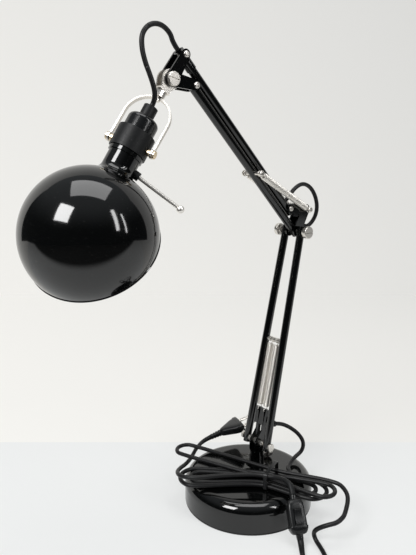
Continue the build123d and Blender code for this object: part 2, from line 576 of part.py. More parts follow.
# Shade: bowl with a slanted mouth, neck that turns in the collar, and the handle
NECK_TOP = 4.0
NECK_FOOT = -36.5
BEAD_RADIUS = 16.8
BEAD_LENGTH = 3.6


def shade():
    centre = Vector(0, SHADE_ASIDE, -SHADE_CENTRE)
    mouth = Vector(*SHADE_OPENING_DIRECTION).normalized()
    mouth_plane = Plane(origin=centre + mouth * SHADE_OPENING_DEPTH, z_dir=mouth)
    bowl = Pos(centre) * Sphere(SHADE_RADIUS) - Pos(centre) * Sphere(SHADE_RADIUS - SHADE_WALL)
    reach = 2 * SHADE_RADIUS
    bowl -= mouth_plane * Cylinder(reach, reach, align=FOOT)
    bowl -= rod((0, 0, -SHADE_CENTRE), (0, 0, 0), NECK_RADIUS)
    rim_radius = math.sqrt(SHADE_RADIUS**2 - SHADE_OPENING_DEPTH**2) - SHADE_WALL / 2
    bowl += mouth_plane * Torus(rim_radius, RIM_BEAD)
    keep("shade_bowl", HEAD * bowl)
    neck = ring(NECK_RADIUS, NECK_RADIUS - NECK_WALL, NECK_FOOT, NECK_TOP)
    bead_from = COLLAR_BOTTOM - FACE_CLEARANCE
    neck += ring(BEAD_RADIUS, NECK_RADIUS - NECK_WALL, bead_from - BEAD_LENGTH, bead_from)
    keep("shade_neck", HEAD * neck)
    out = Vector(*HANDLE_DIRECTION).normalized()
    radial = Vector(out.X, out.Y, 0).normalized()
    root = radial * (NECK_RADIUS - NECK_WALL) + Vector(0, 0, -HANDLE_ROOT_DEPTH)
    tip = root + out * HANDLE_LENGTH
    round_neck = rod((0, 0, NECK_FOOT), (0, 0, NECK_TOP), NECK_RADIUS)
    handle = rod(root, tip, HANDLE_ROD_RADIUS) + Pos(tip) * Sphere(HANDLE_BALL_RADIUS)
    collar_end = root + out * (NECK_WALL + GROMMET_LENGTH)
    boss = rod(root, collar_end, GROMMET_RADIUS) - round_neck - rod(root, tip, HANDLE_ROD_RADIUS)
    keep("handle_rod", HEAD * (handle - round_neck))
    keep("handle_grommet", HEAD * boss)


# Cord: loop at the head, loop at the elbow, lead from the arm, tied hank, switch and plug
def lead(points, name):
    """Cord along straight runs with an arc at each corner as large as the runs allow."""
    route = [Vector(*point) for point in points]
    radii = []
    for before, at, after in zip(route, route[1:], route[2:]):
        half_turn = math.radians((at - before).get_angle(after - at)) / 2
        shorter = min((at - before).length, (after - at).length)
        radii.append(ARC_SHARE * shorter / math.tan(half_turn))
    path = FilletPolyline(*route, radius=radii)
    body = sweep(Plane(origin=path @ 0, z_dir=path % 0) * Circle(CORD_RADIUS), path=path)
    filled = body.volume / (math.pi * CORD_RADIUS**2 * path.length)
    print(name, "length", round(path.length, 1), "filled", round(filled, 4))
    print("    radii", [round(radius, 1) for radius in radii])
    return keep(name, body)


ARC_SHARE = 0.45


def at(frame, x, y, z):
    return tuple((frame * Location((x, y, z))).position)


def arm_cords():
    link_top = UPPER_LENGTH + LINK_TOP_OVERHANG
    head_loop = [at(LINK, 0, 0, link_top), at(LINK, 0, 0, link_top + 9)]
    head_loop += [(98.5, -9.5, 512.6), (109.2, -9.5, 519.3), (121.7, -9.5, 517.5), (130.1, -9.3, 508.1)]
    head_loop += [(130.8, -8.5, 495.5), (128.6, -6.8, 483.5), (124.8, -4.6, 472), (121.6, -3.2, 461)]
    head_loop += [at(HEAD, 5.2, 0.8, 50.0), at(HEAD, 0, 0, GRIP_TOP + 4.5), at(HEAD, 0, 0, GRIP_TOP)]
    lead(head_loop, "head_cord")
    side = UPPER_TUBE_RADIUS
    elbow_loop = [at(LINK, -side, 0, LINK_CORD_UP), at(LINK, -side - 9, 0, LINK_CORD_UP)]
    elbow_loop += [(-76.5, -8.8, 364.5), (-88, -7.9, 369), (-99.5, -6.6, 364.5), (-106.8, -5, 354.5)]
    elbow_loop += [(-109.3, -3.3, 342.5), (-109.4, -4.6, 331), (-104.6, -7.2, 321)]
    entry = -PLATE_THICKNESS / 2 - GROMMET_PROUD
    elbow_loop += [at(WEB, entry - 8, 0, 0), at(WEB, entry, 0, 0)]
    lead(elbow_loop, "elbow_cord")


# The hank lies on the base in front of the post, its own u along the loops and v across them to the back.
# Two loops lie on the base, one inside the other, and a third lies across them.
HANK_X = -1.0
HANK_Y = 37.0
HANK_ALONG = Vector(-0.387, 0.922, 0).normalized()
HANK_LIFT = 1.6
HANK_Z = BASE_HEIGHT + HANK_LIFT + CORD_RADIUS
HANK_LAYER = 5.9
HANK_UPPER = HANK_Z + HANK_LAYER
SHOULDER_SHARE = 1.1
HANK = Plane(origin=(HANK_X, HANK_Y, 0), x_dir=HANK_ALONG, z_dir=(0, 0, 1))


def loop_end(end, length, swing, half, heights):
    """Three knots round one end of a loop that is swung to the front by so many degrees."""
    turn = math.radians(swing)
    out = Vector(end * math.cos(turn), -math.sin(turn), 0)
    front = Vector(-end * math.sin(turn), -math.cos(turn), 0)
    shoulder = out * (length - SHOULDER_SHARE * half)
    across = front * end
    places = [shoulder - across * half, out * length, shoulder + across * half]
    directions = [out, across, out * -1]
    knots = []
    for place, direction, height in zip(places, directions, heights):
        knots.append(((place.X, place.Y, height), tuple(direction)))
    return knots


def front_waist(v, height):
    return ((0, -v, height), (-1, 0, 0))


def back_waist(v, height):
    return ((0, v, height), (1, 0, 0))


def hank_knots():
    low = [HANK_Z] * 3
    high = [HANK_UPPER] * 3
    knots = loop_end(1, 64, -4, 19, low)
    knots.append(front_waist(13, HANK_Z))
    knots += loop_end(-1, 104, 24, 20, low)
    knots.append(back_waist(13, HANK_Z))
    knots += loop_end(1, 52, -4, 12.5, low)
    knots.append(front_waist(6.7, HANK_Z))
    knots += loop_end(-1, 92, 24, 13, low)
    knots.append(back_waist(6.7, HANK_Z + 1.2))
    knots.append(((26, 8, HANK_UPPER), (1, 0.12, 0)))
    knots += loop_end(1, 74, 0, 14.5, high)
    knots.append(front_waist(7, HANK_UPPER))
    knots += loop_end(-1, 127, -3, 13.5, high)
    knots.append(back_waist(13.5, HANK_UPPER))
    knots += loop_end(1, 88, 0, 24, [HANK_UPPER, HANK_UPPER - 5, 0])[:2]
    return knots


def beyond(knot, distance):
    (u, v, z), (du, dv, dz) = knot
    return (u + du * distance, v + dv * distance, z), (du, dv, dz)


def from_hank(point):
    return tuple(HANK.from_local_coords(Vector(*point)))


def hank():
    straight = 2.4 * CORD_RADIUS
    knots = hank_knots()
    knots = [beyond(knots[0], -straight)] + knots + [beyond(knots[-1], straight)]
    keep("cord_hank", HANK * wound_tube(knots, CORD_RADIUS, "hank", 12))
    start = Vector(*from_hank(knots[0][0]))
    onward = Vector(*from_hank(knots[1][0]))
    lead_out(start, (onward - start).normalized())
    finish = Vector(*from_hank(knots[-1][0]))
    across = HANK.y_dir * -1
    to_switch(finish, across)


def lead_out(start, heading):
    exit_y = tube_y(LEAD_EXIT_UP)
    outside = LOWER_TUBE_RADIUS + 3
    route = [at(LOWER, -outside, exit_y, LEAD_EXIT_UP), at(LOWER, -outside - 9, exit_y + 1, LEAD_EXIT_UP)]
    route += [(-54.5, 14, 78.5), (-62.5, 20.5, 70.5), (-68.3, 25, 59.5), (-67, 24.5, 47.5), (-58, 20.2, 40)]
    approach = []
    point = start
    for turn in (0, 30, 60, 90):
        point = point - heading.rotate(Axis.Z, -turn) * 12
        approach.append(tuple(point))
    route += list(reversed(approach)) + [tuple(start)]
    lead(route, "lead_out")


SWITCH_FOOT = Vector(18.5, 100.0, 12.5)
SWITCH_HEAD = Vector(9.5, 82.0, 40.5)
SWITCH_WIDTH = 20.0
SWITCH_DEPTH = 13.0
SWITCH_TAIL = 5.0
SWITCH_ALONG = (SWITCH_HEAD - SWITCH_FOOT).normalized()
SWITCH_LENGTH = (SWITCH_HEAD - SWITCH_FOOT).length
SWITCH_ACROSS = Vector(0, 0, 1).cross(SWITCH_ALONG).normalized()
SWITCH = Plane(origin=(SWITCH_HEAD + SWITCH_FOOT) * 0.5, x_dir=SWITCH_ACROSS, z_dir=SWITCH_ALONG)
ROCKER_WIDTH = 8.0
ROCKER_LENGTH = 15.0
ROCKER_RISE = 2.0
ROCKER_DEPTH = 3.0


def to_switch(finish, across):
    route = [tuple(finish), tuple(finish + across * 9)]
    route += [(-11.5, 124.5, 36), (-3.5, 119, 32.5), (0.5, 111, 27.5), (1, 105, 20), (-1.5, 103, 11.5)]
    route += [(-0.5, 107.5, 4.5), (4.5, 117, 2.6), (11, 127.5, 2.5), (18, 137, 2.5), (28, 140.5, 2.5)]
    route += [(36.5, 134, 2.5), (36.5, 123.5, 2.5), (29.5, 114.5, 2.7)]
    tail_end = SWITCH_FOOT - SWITCH_ALONG * SWITCH_TAIL
    route += [tuple(tail_end - SWITCH_ALONG * 5), tuple(tail_end)]
    lead(route, "lead_run")


def switch():
    body = Box(SWITCH_WIDTH, SWITCH_DEPTH, SWITCH_LENGTH)
    body = fillet(body.edges().filter_by(Axis.Z), 5.0)
    body = fillet(body.edges().group_by(Axis.Z)[-1], 2.5)
    body = fillet(body.edges().group_by(Axis.Z)[0], 2.5)
    half = SWITCH_LENGTH / 2
    for end in (1, -1):
        body += rod((0, 0, end * (half - 1)), (0, 0, end * (half + SWITCH_TAIL)), CORD_RADIUS + 1.4)
    face = SWITCH_DEPTH / 2
    recess = Box(ROCKER_WIDTH + 0.6, 2 * ROCKER_DEPTH + 2, ROCKER_LENGTH + 0.8)
    body -= Pos(0, face, 0) * recess
    keep("switch_body", SWITCH * body)
    rocker = Box(ROCKER_WIDTH, ROCKER_DEPTH + ROCKER_RISE, ROCKER_LENGTH)
    rocker = Pos(0, face + (ROCKER_RISE - ROCKER_DEPTH) / 2, 0) * rocker
    crown = Pos(0, face + ROCKER_RISE + 22, 0) * Rot(0, 90, 0) * Cylinder(23, 2 * ROCKER_WIDTH)
    keep("switch_rocker", SWITCH * (rocker - crown))


PLUG_START = Vector(-3.4, -74.1, 46.7)
PLUG_ALONG = Vector(-0.90, 0.32, 0.28).normalized()
PLUG_ACROSS = Vector(0, 0, 1).cross(PLUG_ALONG).normalized()
PLUG_ROLL = -6.0
PLUG = Plane(origin=PLUG_START, x_dir=PLUG_ACROSS, z_dir=PLUG_ALONG)
PLUG_WIDTH = 34.0
PLUG_DEPTH = 13.0
PLUG_LENGTH = 42.0
RELIEF_LENGTH = 15.0
RELIEF_RADIUS = 4.2
PIN_SPACING = 18.6
PLUG_PIN_RADIUS = 2.0
PLUG_PIN_LENGTH = 19.0


def plug():
    half = PLUG_WIDTH / 2
    outline = Polyline(
        (-RELIEF_RADIUS - 0.6, RELIEF_LENGTH),
        (RELIEF_RADIUS + 0.6, RELIEF_LENGTH),
        (half - 1.5, PLUG_LENGTH - 9),
        (half, PLUG_LENGTH),
        (-half, PLUG_LENGTH),
        (-half + 1.5, PLUG_LENGTH - 9),
        close=True,
    )
    flat = Plane(origin=(0, PLUG_DEPTH / 2, 0), x_dir=(1, 0, 0), z_dir=(0, -1, 0)) * make_face(outline)
    body = extrude(flat, amount=PLUG_DEPTH)
    body = fillet(body.edges().filter_by(Plane.XZ), 3.0)
    relief = rod((0, 0, 0), (0, 0, RELIEF_LENGTH + 4), RELIEF_RADIUS - 0.8)
    for rib in range(4):
        relief += rod((0, 0, 3.4 * rib), (0, 0, 3.4 * rib + 1.7), RELIEF_RADIUS)
    roll = PLUG * Location((0, 0, 0), (0, 0, PLUG_ROLL))
    pins = []
    for side in (1, -1):
        x = side * PIN_SPACING / 2
        pin = rod((x, 0, PLUG_LENGTH), (x, 0, PLUG_LENGTH + PLUG_PIN_LENGTH), PLUG_PIN_RADIUS)
        pins.append(roll * fillet(pin.edges().group_by(Axis.Z)[-1], 1.2))
    keep("plug_body", roll * (body + relief))
    keep("plug_pins", Compound(pins))
    tail = SWITCH_HEAD + SWITCH_ALONG * SWITCH_TAIL
    route = [tuple(tail), tuple(tail + SWITCH_ALONG * 5), (5, 70.5, 53), (5, 60, 53.3), (8, 47.5, 50.8)]
    route += [(16.5, 35, 50.7), (28, 25.5, 50.6), (40.5, 16.5, 50.5), (54, 8, 50.4), (68, -0.5, 50)]
    route += [(79, -10.5, 49), (84, -22.5, 47.3), (79, -35, 45), (67, -44.5, 41.5), (54, -51.5, 38.6)]
    route += [(41.5, -59.5, 37.2), (30, -68, 37.2), (20, -75, 38.2)]
    route += [tuple(PLUG_START - PLUG_ALONG * 11), tuple(PLUG_START)]
    lead(route, "plug_lead")


TIE_U = 0.0
TIE_BAND = 4.0
TIE_SHEET = 0.9
TIE_BOTTOM = BASE_HEIGHT + FACE_CLEARANCE
TIE_TOP = 54.4
TIE_BACK = 17.6
TIE_FRONT = -17.6
TIE_ROUND = 3.0


def tie():
    middle = (TIE_TOP + TIE_BOTTOM) / 2
    wide = TIE_BACK - TIE_FRONT
    tall = TIE_TOP - TIE_BOTTOM
    outer = RectangleRounded(wide, tall, TIE_ROUND)
    inner = RectangleRounded(wide - 2 * TIE_SHEET, tall - 2 * TIE_SHEET, TIE_ROUND - TIE_SHEET)
    centre = (TIE_U - TIE_BAND / 2, (TIE_BACK + TIE_FRONT) / 2, middle)
    band = extrude(Plane(origin=centre, x_dir=(0, 1, 0), z_dir=(1, 0, 0)) * (outer - inner), amount=TIE_BAND)
    keep("hank_tie", HANK * band)


def build():
    base()
    swivel_socket()
    swivel_bracket()
    lower_arm()
    elbow()
    upper_arm()
    head_bracket()
    clamp_and_yoke()
    lamp_head()
    shade()
    arm_cords()
    hank()
    switch()
    plug()
    tie()
    return PARTS


if __name__ == "__main__":
    os.makedirs("parts", exist_ok=True)
    for node, shape in build().items():
        shape.label = node
        export_step(shape, f"parts/{node}.step")
        if not shape.is_valid:
            print("not valid:", node)
    print(len(PARTS), "nodes")
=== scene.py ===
import json
import math

import bpy
import bmesh
from bpy.props import FloatProperty, FloatVectorProperty, IntProperty, PointerProperty
from mathutils import Matrix, Vector


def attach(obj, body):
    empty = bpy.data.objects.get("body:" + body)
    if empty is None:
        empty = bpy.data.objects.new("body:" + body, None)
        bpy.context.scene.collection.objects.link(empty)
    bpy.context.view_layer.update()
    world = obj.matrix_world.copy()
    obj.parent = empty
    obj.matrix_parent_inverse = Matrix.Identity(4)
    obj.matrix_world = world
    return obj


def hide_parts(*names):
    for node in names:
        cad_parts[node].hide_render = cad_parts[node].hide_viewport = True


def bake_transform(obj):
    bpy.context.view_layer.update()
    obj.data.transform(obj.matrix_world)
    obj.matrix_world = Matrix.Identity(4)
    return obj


bl_info = {
    "name": "Balanced-arm desk lamp",
    "version": (1, 0, 0),
    "blender": (4, 5, 0),
    "location": "View3D > Sidebar > Lamp",
    "description": "Finishes, springs, cord and stage for the spring-balanced desk lamp",
    "category": "Object",
}

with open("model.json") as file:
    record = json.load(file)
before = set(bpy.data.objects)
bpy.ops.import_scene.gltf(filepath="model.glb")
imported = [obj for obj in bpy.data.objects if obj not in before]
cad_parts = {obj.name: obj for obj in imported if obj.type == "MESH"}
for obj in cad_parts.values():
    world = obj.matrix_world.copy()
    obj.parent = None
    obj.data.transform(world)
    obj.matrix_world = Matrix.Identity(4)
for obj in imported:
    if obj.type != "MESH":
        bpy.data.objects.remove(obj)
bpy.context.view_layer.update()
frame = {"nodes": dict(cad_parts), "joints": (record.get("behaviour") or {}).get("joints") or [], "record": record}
NODES = frame["nodes"]
MM = 0.001


# Frames of the lamp, read from the joints


def joint(name):
    return next(j for j in frame["joints"] if j["name"] == name)


def at_joint(name):
    return Vector(joint(name)["pos_m"])


def axes_frame(origin, z_axis, y_axis):
    z = Vector(z_axis).normalized()
    y = Vector(y_axis)
    y = (y - z * y.dot(z)).normalized()
    x = y.cross(z)
    matrix = Matrix((x, y, z)).transposed().to_4x4()
    matrix.translation = Vector(origin)
    return matrix


HINGE = Vector((0, 1, 0))
PIVOT = at_joint("lower_arm_tilt")
ELBOW = at_joint("upper_arm_tilt")
BRACKET = at_joint("head_bracket_level")
LOWER = axes_frame(PIVOT, ELBOW - PIVOT, HINGE)
UPPER = axes_frame(ELBOW, BRACKET - ELBOW, HINGE)
LINK = axes_frame(at_joint("upper_link_tilt"), BRACKET - ELBOW, HINGE)
CLAMP = axes_frame(at_joint("clamp_tilt"), joint("yoke_swivel")["axis"], HINGE)
WEB_SPAN = Vector((-0.013, 0, 0.025))
WEB_FOOT = ELBOW + WEB_SPAN / 2
WEB_FLAT = axes_frame(WEB_FOOT, WEB_SPAN, HINGE)
WEB = WEB_FLAT @ Matrix.Translation((-0.0055, 0, -0.002))
HEAD = axes_frame(at_joint("head_tilt"), joint("shade_turn")["axis"], joint("head_tilt")["axis"])


def local(matrix, x, y, z):
    """A point given in millimetres of one of the lamp's frames."""
    return matrix @ (Vector((x, y, z)) * MM)


# Settings that a user would change


def colour_setting(name, description, default):
    return FloatVectorProperty(
        name=name,
        description=description,
        subtype="COLOR",
        default=default,
        min=0,
        max=1,
    )


class LampColours(bpy.types.PropertyGroup):
    enamel: colour_setting("Enamel", "Colour of the black gloss paint", (0.0011, 0.0013, 0.0013))
    nickel: colour_setting("Nickel", "Colour of the plated metal", (0.72, 0.69, 0.645))
    wire: colour_setting("Spring wire", "Colour of the drawn wire and the handle rod", (0.92, 0.89, 0.84))
    plastic: colour_setting("Plastic", "Colour of the moulded black plastic", (0.0045, 0.005, 0.0055))
    cord: colour_setting("Cord", "Colour of the cord's sheath", (0.0055, 0.0055, 0.006))
    inside: colour_setting("Shade inside", "Colour of the enamel inside the shade", (0.80, 0.79, 0.76))


class LampSizes(bpy.types.PropertyGroup):
    cord_diameter: FloatProperty(
        name="Cord diameter",
        description="Outer diameter of the cord",
        unit="LENGTH",
        default=0.0048,
        min=0.003,
        max=0.008,
        precision=4,
    )
    spring_wire: FloatProperty(
        name="Spring wire",
        description="Diameter of the springs' wire",
        unit="LENGTH",
        default=0.00105,
        min=0.0006,
        max=0.002,
        precision=5,
    )
    spring_turns: IntProperty(
        name="Spring turns",
        description="Turns of wire in each spring",
        default=70,
        min=20,
        max=90,
    )


def colours():
    return bpy.context.scene.lamp_colours


def sizes():
    return bpy.context.scene.lamp_sizes


# Material helpers


DUST_COLOUR = (0.35, 0.34, 0.32)
DUST_SCALE = 900
BUMP_REACH = 0.0004
WARM_TINT = (1.08, 0.93, 0.70)


def group_socket(tree, name, way, default=None):
    socket = tree.interface.new_socket(name=name, in_out=way, socket_type="NodeSocketFloat")
    if default is not None:
        socket.default_value = default


def surface_group():
    """Fine unevenness of a finish: a noise for roughness, a scatter of dust and a height for bump."""
    name = "surface_unevenness"
    if name in bpy.data.node_groups:
        return bpy.data.node_groups[name]
    tree = bpy.data.node_groups.new(name, "ShaderNodeTree")
    group_socket(tree, "Scale", "INPUT", 60.0)
    group_socket(tree, "Rough Low", "INPUT", 0.05)
    group_socket(tree, "Rough High", "INPUT", 0.15)
    group_socket(tree, "Dust", "INPUT", 0.2)
    group_socket(tree, "Roughness", "OUTPUT")
    group_socket(tree, "Dust Mask", "OUTPUT")
    group_socket(tree, "Height", "OUTPUT")
    inputs = tree.nodes.new("NodeGroupInput")
    outputs = tree.nodes.new("NodeGroupOutput")
    place = tree.nodes.new("ShaderNodeTexCoord")
    smear = tree.nodes.new("ShaderNodeTexNoise")
    smear.inputs["Detail"].default_value = 5
    smear.inputs["Roughness"].default_value = 0.6
    tree.links.new(place.outputs["Object"], smear.inputs["Vector"])
    tree.links.new(inputs.outputs["Scale"], smear.inputs["Scale"])
    spread = tree.nodes.new("ShaderNodeMapRange")
    spread.inputs["From Min"].default_value = 0.3
    spread.inputs["From Max"].default_value = 0.7
    tree.links.new(smear.outputs["Fac"], spread.inputs["Value"])
    tree.links.new(inputs.outputs["Rough Low"], spread.inputs["To Min"])
    tree.links.new(inputs.outputs["Rough High"], spread.inputs["To Max"])
    tree.links.new(spread.outputs["Result"], outputs.inputs["Roughness"])
    specks = tree.nodes.new("ShaderNodeTexNoise")
    specks.inputs["Scale"].default_value = DUST_SCALE
    specks.inputs["Detail"].default_value = 2
    tree.links.new(place.outputs["Object"], specks.inputs["Vector"])
    pick = tree.nodes.new("ShaderNodeMapRange")
    pick.inputs["From Min"].default_value = 0.70
    pick.inputs["From Max"].default_value = 0.78
    tree.links.new(specks.outputs["Fac"], pick.inputs["Value"])
    amount = tree.nodes.new("ShaderNodeMath")
    amount.operation = "MULTIPLY"
    tree.links.new(pick.outputs["Result"], amount.inputs[0])
    tree.links.new(inputs.outputs["Dust"], amount.inputs[1])
    tree.links.new(amount.outputs["Value"], outputs.inputs["Dust Mask"])
    tree.links.new(smear.outputs["Fac"], outputs.inputs["Height"])
    return tree


def new_material(name):
    material = bpy.data.materials.new(name)
    material.use_nodes = True
    nodes = material.node_tree.nodes
    shader = nodes["Principled BSDF"]
    return material, nodes, material.node_tree.links, shader


def finish(name, colour, low, high, scale, dust, bump, metallic=0.0, gleam=0.5):
    """A finish with uneven gloss between two roughnesses, a trace of dust and a faint bump."""
    material, nodes, links, shader = new_material(name)
    uneven = nodes.new("ShaderNodeGroup")
    uneven.node_tree = surface_group()
    uneven.inputs["Scale"].default_value = scale
    uneven.inputs["Rough Low"].default_value = low
    uneven.inputs["Rough High"].default_value = high
    uneven.inputs["Dust"].default_value = dust
    if dust > 0:
        dusty = blend_colours(nodes, links, uneven.outputs["Dust Mask"], colour, DUST_COLOUR)
        links.new(dusty, shader.inputs["Base Color"])
    else:
        shader.inputs["Base Color"].default_value = (*colour, 1)
    links.new(uneven.outputs["Roughness"], shader.inputs["Roughness"])
    lift = nodes.new("ShaderNodeBump")
    lift.inputs["Strength"].default_value = bump
    lift.inputs["Distance"].default_value = BUMP_REACH
    links.new(uneven.outputs["Height"], lift.inputs["Height"])
    links.new(lift.outputs["Normal"], shader.inputs["Normal"])
    shader.inputs["Metallic"].default_value = metallic
    shader.inputs["Specular IOR Level"].default_value = gleam
    return material


def blend_colours(nodes, links, share, colour, far):
    """From one plain colour to another by a share."""
    mix = nodes.new("ShaderNodeMix")
    mix.data_type = "RGBA"
    mix.inputs["A"].default_value = (*colour, 1)
    mix.inputs["B"].default_value = (*far, 1)
    links.new(share, mix.inputs["Factor"])
    return mix.outputs["Result"]


def join(nodes, links, operation, *values):
    """A math node on sockets or plain numbers."""
    node = nodes.new("ShaderNodeMath")
    node.operation = operation
    for socket, value in zip(node.inputs, values):
        if isinstance(value, bpy.types.NodeSocket):
            links.new(value, socket)
        else:
            socket.default_value = value
    return node.outputs["Value"]


def ramp(nodes, links, value, low, high):
    """A smooth step from 0 at low to 1 at high."""
    node = nodes.new("ShaderNodeMapRange")
    node.interpolation_type = "SMOOTHSTEP"
    node.inputs["From Min"].default_value = low
    node.inputs["From Max"].default_value = high
    links.new(value, node.inputs["Value"])
    return node.outputs["Result"]


def along(nodes, links, place, direction):
    """How far a point lies along a direction."""
    node = nodes.new("ShaderNodeVectorMath")
    node.operation = "DOT_PRODUCT"
    node.inputs[1].default_value = direction
    links.new(place.outputs["Position"], node.inputs[0])
    return node.outputs["Value"]


MATERIALS = {}


def make_materials():
    """Each finish: colour, low and high roughness, scale of the unevenness, dust and bump."""
    tint = colours()
    warm = [part * share for part, share in zip(tint.nickel, WARM_TINT)]
    pale = (0.78, 0.76, 0.70)
    yellow = (0.72, 0.52, 0.22)
    grey = (0.12, 0.12, 0.12)
    dark = (0.02, 0.02, 0.02)
    made = {
        "enamel": finish("black_gloss_enamel", tint.enamel, 0.055, 0.10, 26, 0.12, 0.010, gleam=0.62),
        "nickel": finish("nickel_plate", tint.nickel, 0.28, 0.33, 90, 0, 0.0004, metallic=1),
        "wire": finish("nickel_wire", tint.wire, 0.34, 0.42, 120, 0, 0.0004, metallic=1),
        "warm_nickel": finish("warm_plated_screws", warm, 0.28, 0.33, 90, 0, 0.0004, metallic=1),
        "gloss_plastic": finish("gloss_black_plastic", tint.plastic, 0.12, 0.22, 80, 0.15, 0.03),
        "satin_plastic": finish("satin_black_plastic", tint.plastic, 0.26, 0.36, 160, 0.2, 0.05, gleam=0.4),
        "matte_plastic": finish("matte_black_plastic", tint.plastic, 0.40, 0.52, 500, 0.1, 0.06, gleam=0.28),
        "cord": finish("cord_sheath", tint.cord, 0.38, 0.48, 300, 0.12, 0.05, gleam=0.32),
        "inside": finish("shade_inside_enamel", tint.inside, 0.25, 0.38, 60, 0, 0.03),
        "pad": finish("base_foam_pad", dark, 0.8, 0.95, 700, 0.2, 0.5),
        "iron": finish("cast_iron_weight", grey, 0.5, 0.7, 300, 0, 0.4, metallic=0.7),
        "ceramic": finish("socket_ceramic", pale, 0.3, 0.45, 200, 0, 0.05),
        "brass": finish("socket_brass", yellow, 0.2, 0.32, 300, 0, 0.03, metallic=1),
        "bulb": frosted_bulb(),
        "tie": finish("tie_sheath", tint.plastic, 0.25, 0.35, 200, 0.1, 0.05),
    }
    MATERIALS.update(made)


def frosted_bulb():
    """Milky glass, seen only from under the shade."""
    material, _, _, shader = new_material("frosted_bulb")
    shader.inputs["Base Color"].default_value = (0.9, 0.89, 0.86, 1)
    shader.inputs["Roughness"].default_value = 0.35
    shader.inputs["Transmission Weight"].default_value = 0.25
    return material


def dress(obj, *keys):
    obj.data.materials.clear()
    for key in keys:
        obj.data.materials.append(MATERIALS[key])
    return obj


# Mesh helpers


def mesh_object(name, verts, faces, smooth=True):
    mesh = bpy.data.meshes.new(name)
    mesh.from_pydata([tuple(v) for v in verts], [], faces)
    mesh.validate()
    if smooth:
        mesh.polygons.foreach_set("use_smooth", [True] * len(mesh.polygons))
    obj = bpy.data.objects.new(name, mesh)
    bpy.context.scene.collection.objects.link(obj)
    return obj


def tube_mesh(name, points, radius, sides=16):
    """Closed tube along points, of one radius or a list of them, with its rings kept from twisting."""
    verts = []
    faces = []
    tangents = []
    for i in range(len(points)):
        ahead = points[min(i + 1, len(points) - 1)] - points[max(i - 1, 0)]
        tangents.append(ahead.normalized())
    side = tangents[0].orthogonal().normalized()
    for i, point in enumerate(points):
        side = (side - tangents[i] * side.dot(tangents[i])).normalized()
        other = tangents[i].cross(side)
        reach = radius[i] if isinstance(radius, list) else radius
        for k in range(sides):
            angle = 2 * math.pi * k / sides
            verts.append(point + side * (reach * math.cos(angle)) + other * (reach * math.sin(angle)))
    for i in range(len(points) - 1):
        for k in range(sides):
            a = i * sides + k
            b = i * sides + (k + 1) % sides
            faces.append((a, b, b + sides, a + sides))
    faces.append(tuple(reversed(range(sides))))
    last = (len(points) - 1) * sides
    faces.append(tuple(range(last, last + sides)))
    return mesh_object(name, verts, faces)


def lathe(name, profile, matrix, segments=96):
    """Closed solid turned about a frame's z axis from (radius, height) pairs in millimetres."""
    verts = []
    rings = []
    faces = []
    for radius, height in profile:
        if radius < 1e-6:
            rings.append([len(verts)])
            verts.append(local(matrix, 0, 0, height))
            continue
        rings.append(list(range(len(verts), len(verts) + segments)))
        for k in range(segments):
            angle = 2 * math.pi * k / segments
            verts.append(local(matrix, radius * math.cos(angle), radius * math.sin(angle), height))
    for low, high in zip(rings, rings[1:]):
        for k in range(segments):
            n = (k + 1) % segments
            if len(low) == 1 and len(high) == 1:
                continue
            if len(low) == 1:
                faces.append((low[0], high[n], high[k]))
            elif len(high) == 1:
                faces.append((low[k], low[n], high[0]))
            else:
                faces.append((low[k], low[n], high[n], high[k]))
    return mesh_object(name, verts, faces)


def loft(name, sections, matrix, sides=64):
    """Closed body through rounded-box rings of height, half width, half depth and squareness."""
    verts = []
    faces = []
    for height, wide, deep, square in sections:
        for k in range(sides):
            angle = 2 * math.pi * (k + 0.5) / sides
            c = math.cos(angle)
            s = math.sin(angle)
            x = math.copysign(abs(c) ** (2 / square), c)
            y = math.copysign(abs(s) ** (2 / square), s)
            verts.append(local(matrix, wide * x, deep * y, height))
    for ring in range(len(sections) - 1):
        for k in range(sides):
            a = ring * sides + k
            b = ring * sides + (k + 1) % sides
            faces.append((a, b, b + sides, a + sides))
    last = (len(sections) - 1) * sides
    faces.append(tuple(reversed(range(sides))))
    faces.append(tuple(range(last, last + sides)))
    return mesh_object(name, verts, faces)


def carve(obj, cutter):
    """Cut one piece's shape out of another, and drop the cutter."""
    modifier = obj.modifiers.new("carve", "BOOLEAN")
    modifier.operation = "DIFFERENCE"
    modifier.solver = "EXACT"
    modifier.object = cutter
    bpy.context.view_layer.update()
    shaped = bpy.data.meshes.new_from_object(obj.evaluated_get(bpy.context.evaluated_depsgraph_get()))
    obj.modifiers.clear()
    obj.data = shaped
    bpy.data.objects.remove(cutter)
    return obj


def arc(cx, cz, radius, start, end, steps):
    """Points of an arc in a profile, between two angles in degrees."""
    out = []
    for i in range(steps + 1):
        angle = math.radians(start + (end - start) * i / steps)
        out.append((cx + radius * math.cos(angle), cz + radius * math.sin(angle)))
    return out


def weld(obj):
    """Join points that coincide and turn every face outwards."""
    shaped = bmesh.new()
    shaped.from_mesh(obj.data)
    bmesh.ops.remove_doubles(shaped, verts=shaped.verts, dist=1e-7)
    bmesh.ops.recalc_face_normals(shaped, faces=shaped.faces)
    shaped.to_mesh(obj.data)
    shaped.free()
    return obj


def soften(obj, angle):
    """Shade a piece smooth, but keep edges sharper than the angle."""
    mesh = obj.data
    mesh.polygons.foreach_set("use_smooth", [True] * len(mesh.polygons))
    shaped = bmesh.new()
    shaped.from_mesh(mesh)
    limit = math.radians(angle)
    for edge in shaped.edges:
        edge.smooth = len(edge.link_faces) != 2 or edge.calc_face_angle(0) < limit
    shaped.to_mesh(mesh)
    shaped.free()
    return obj


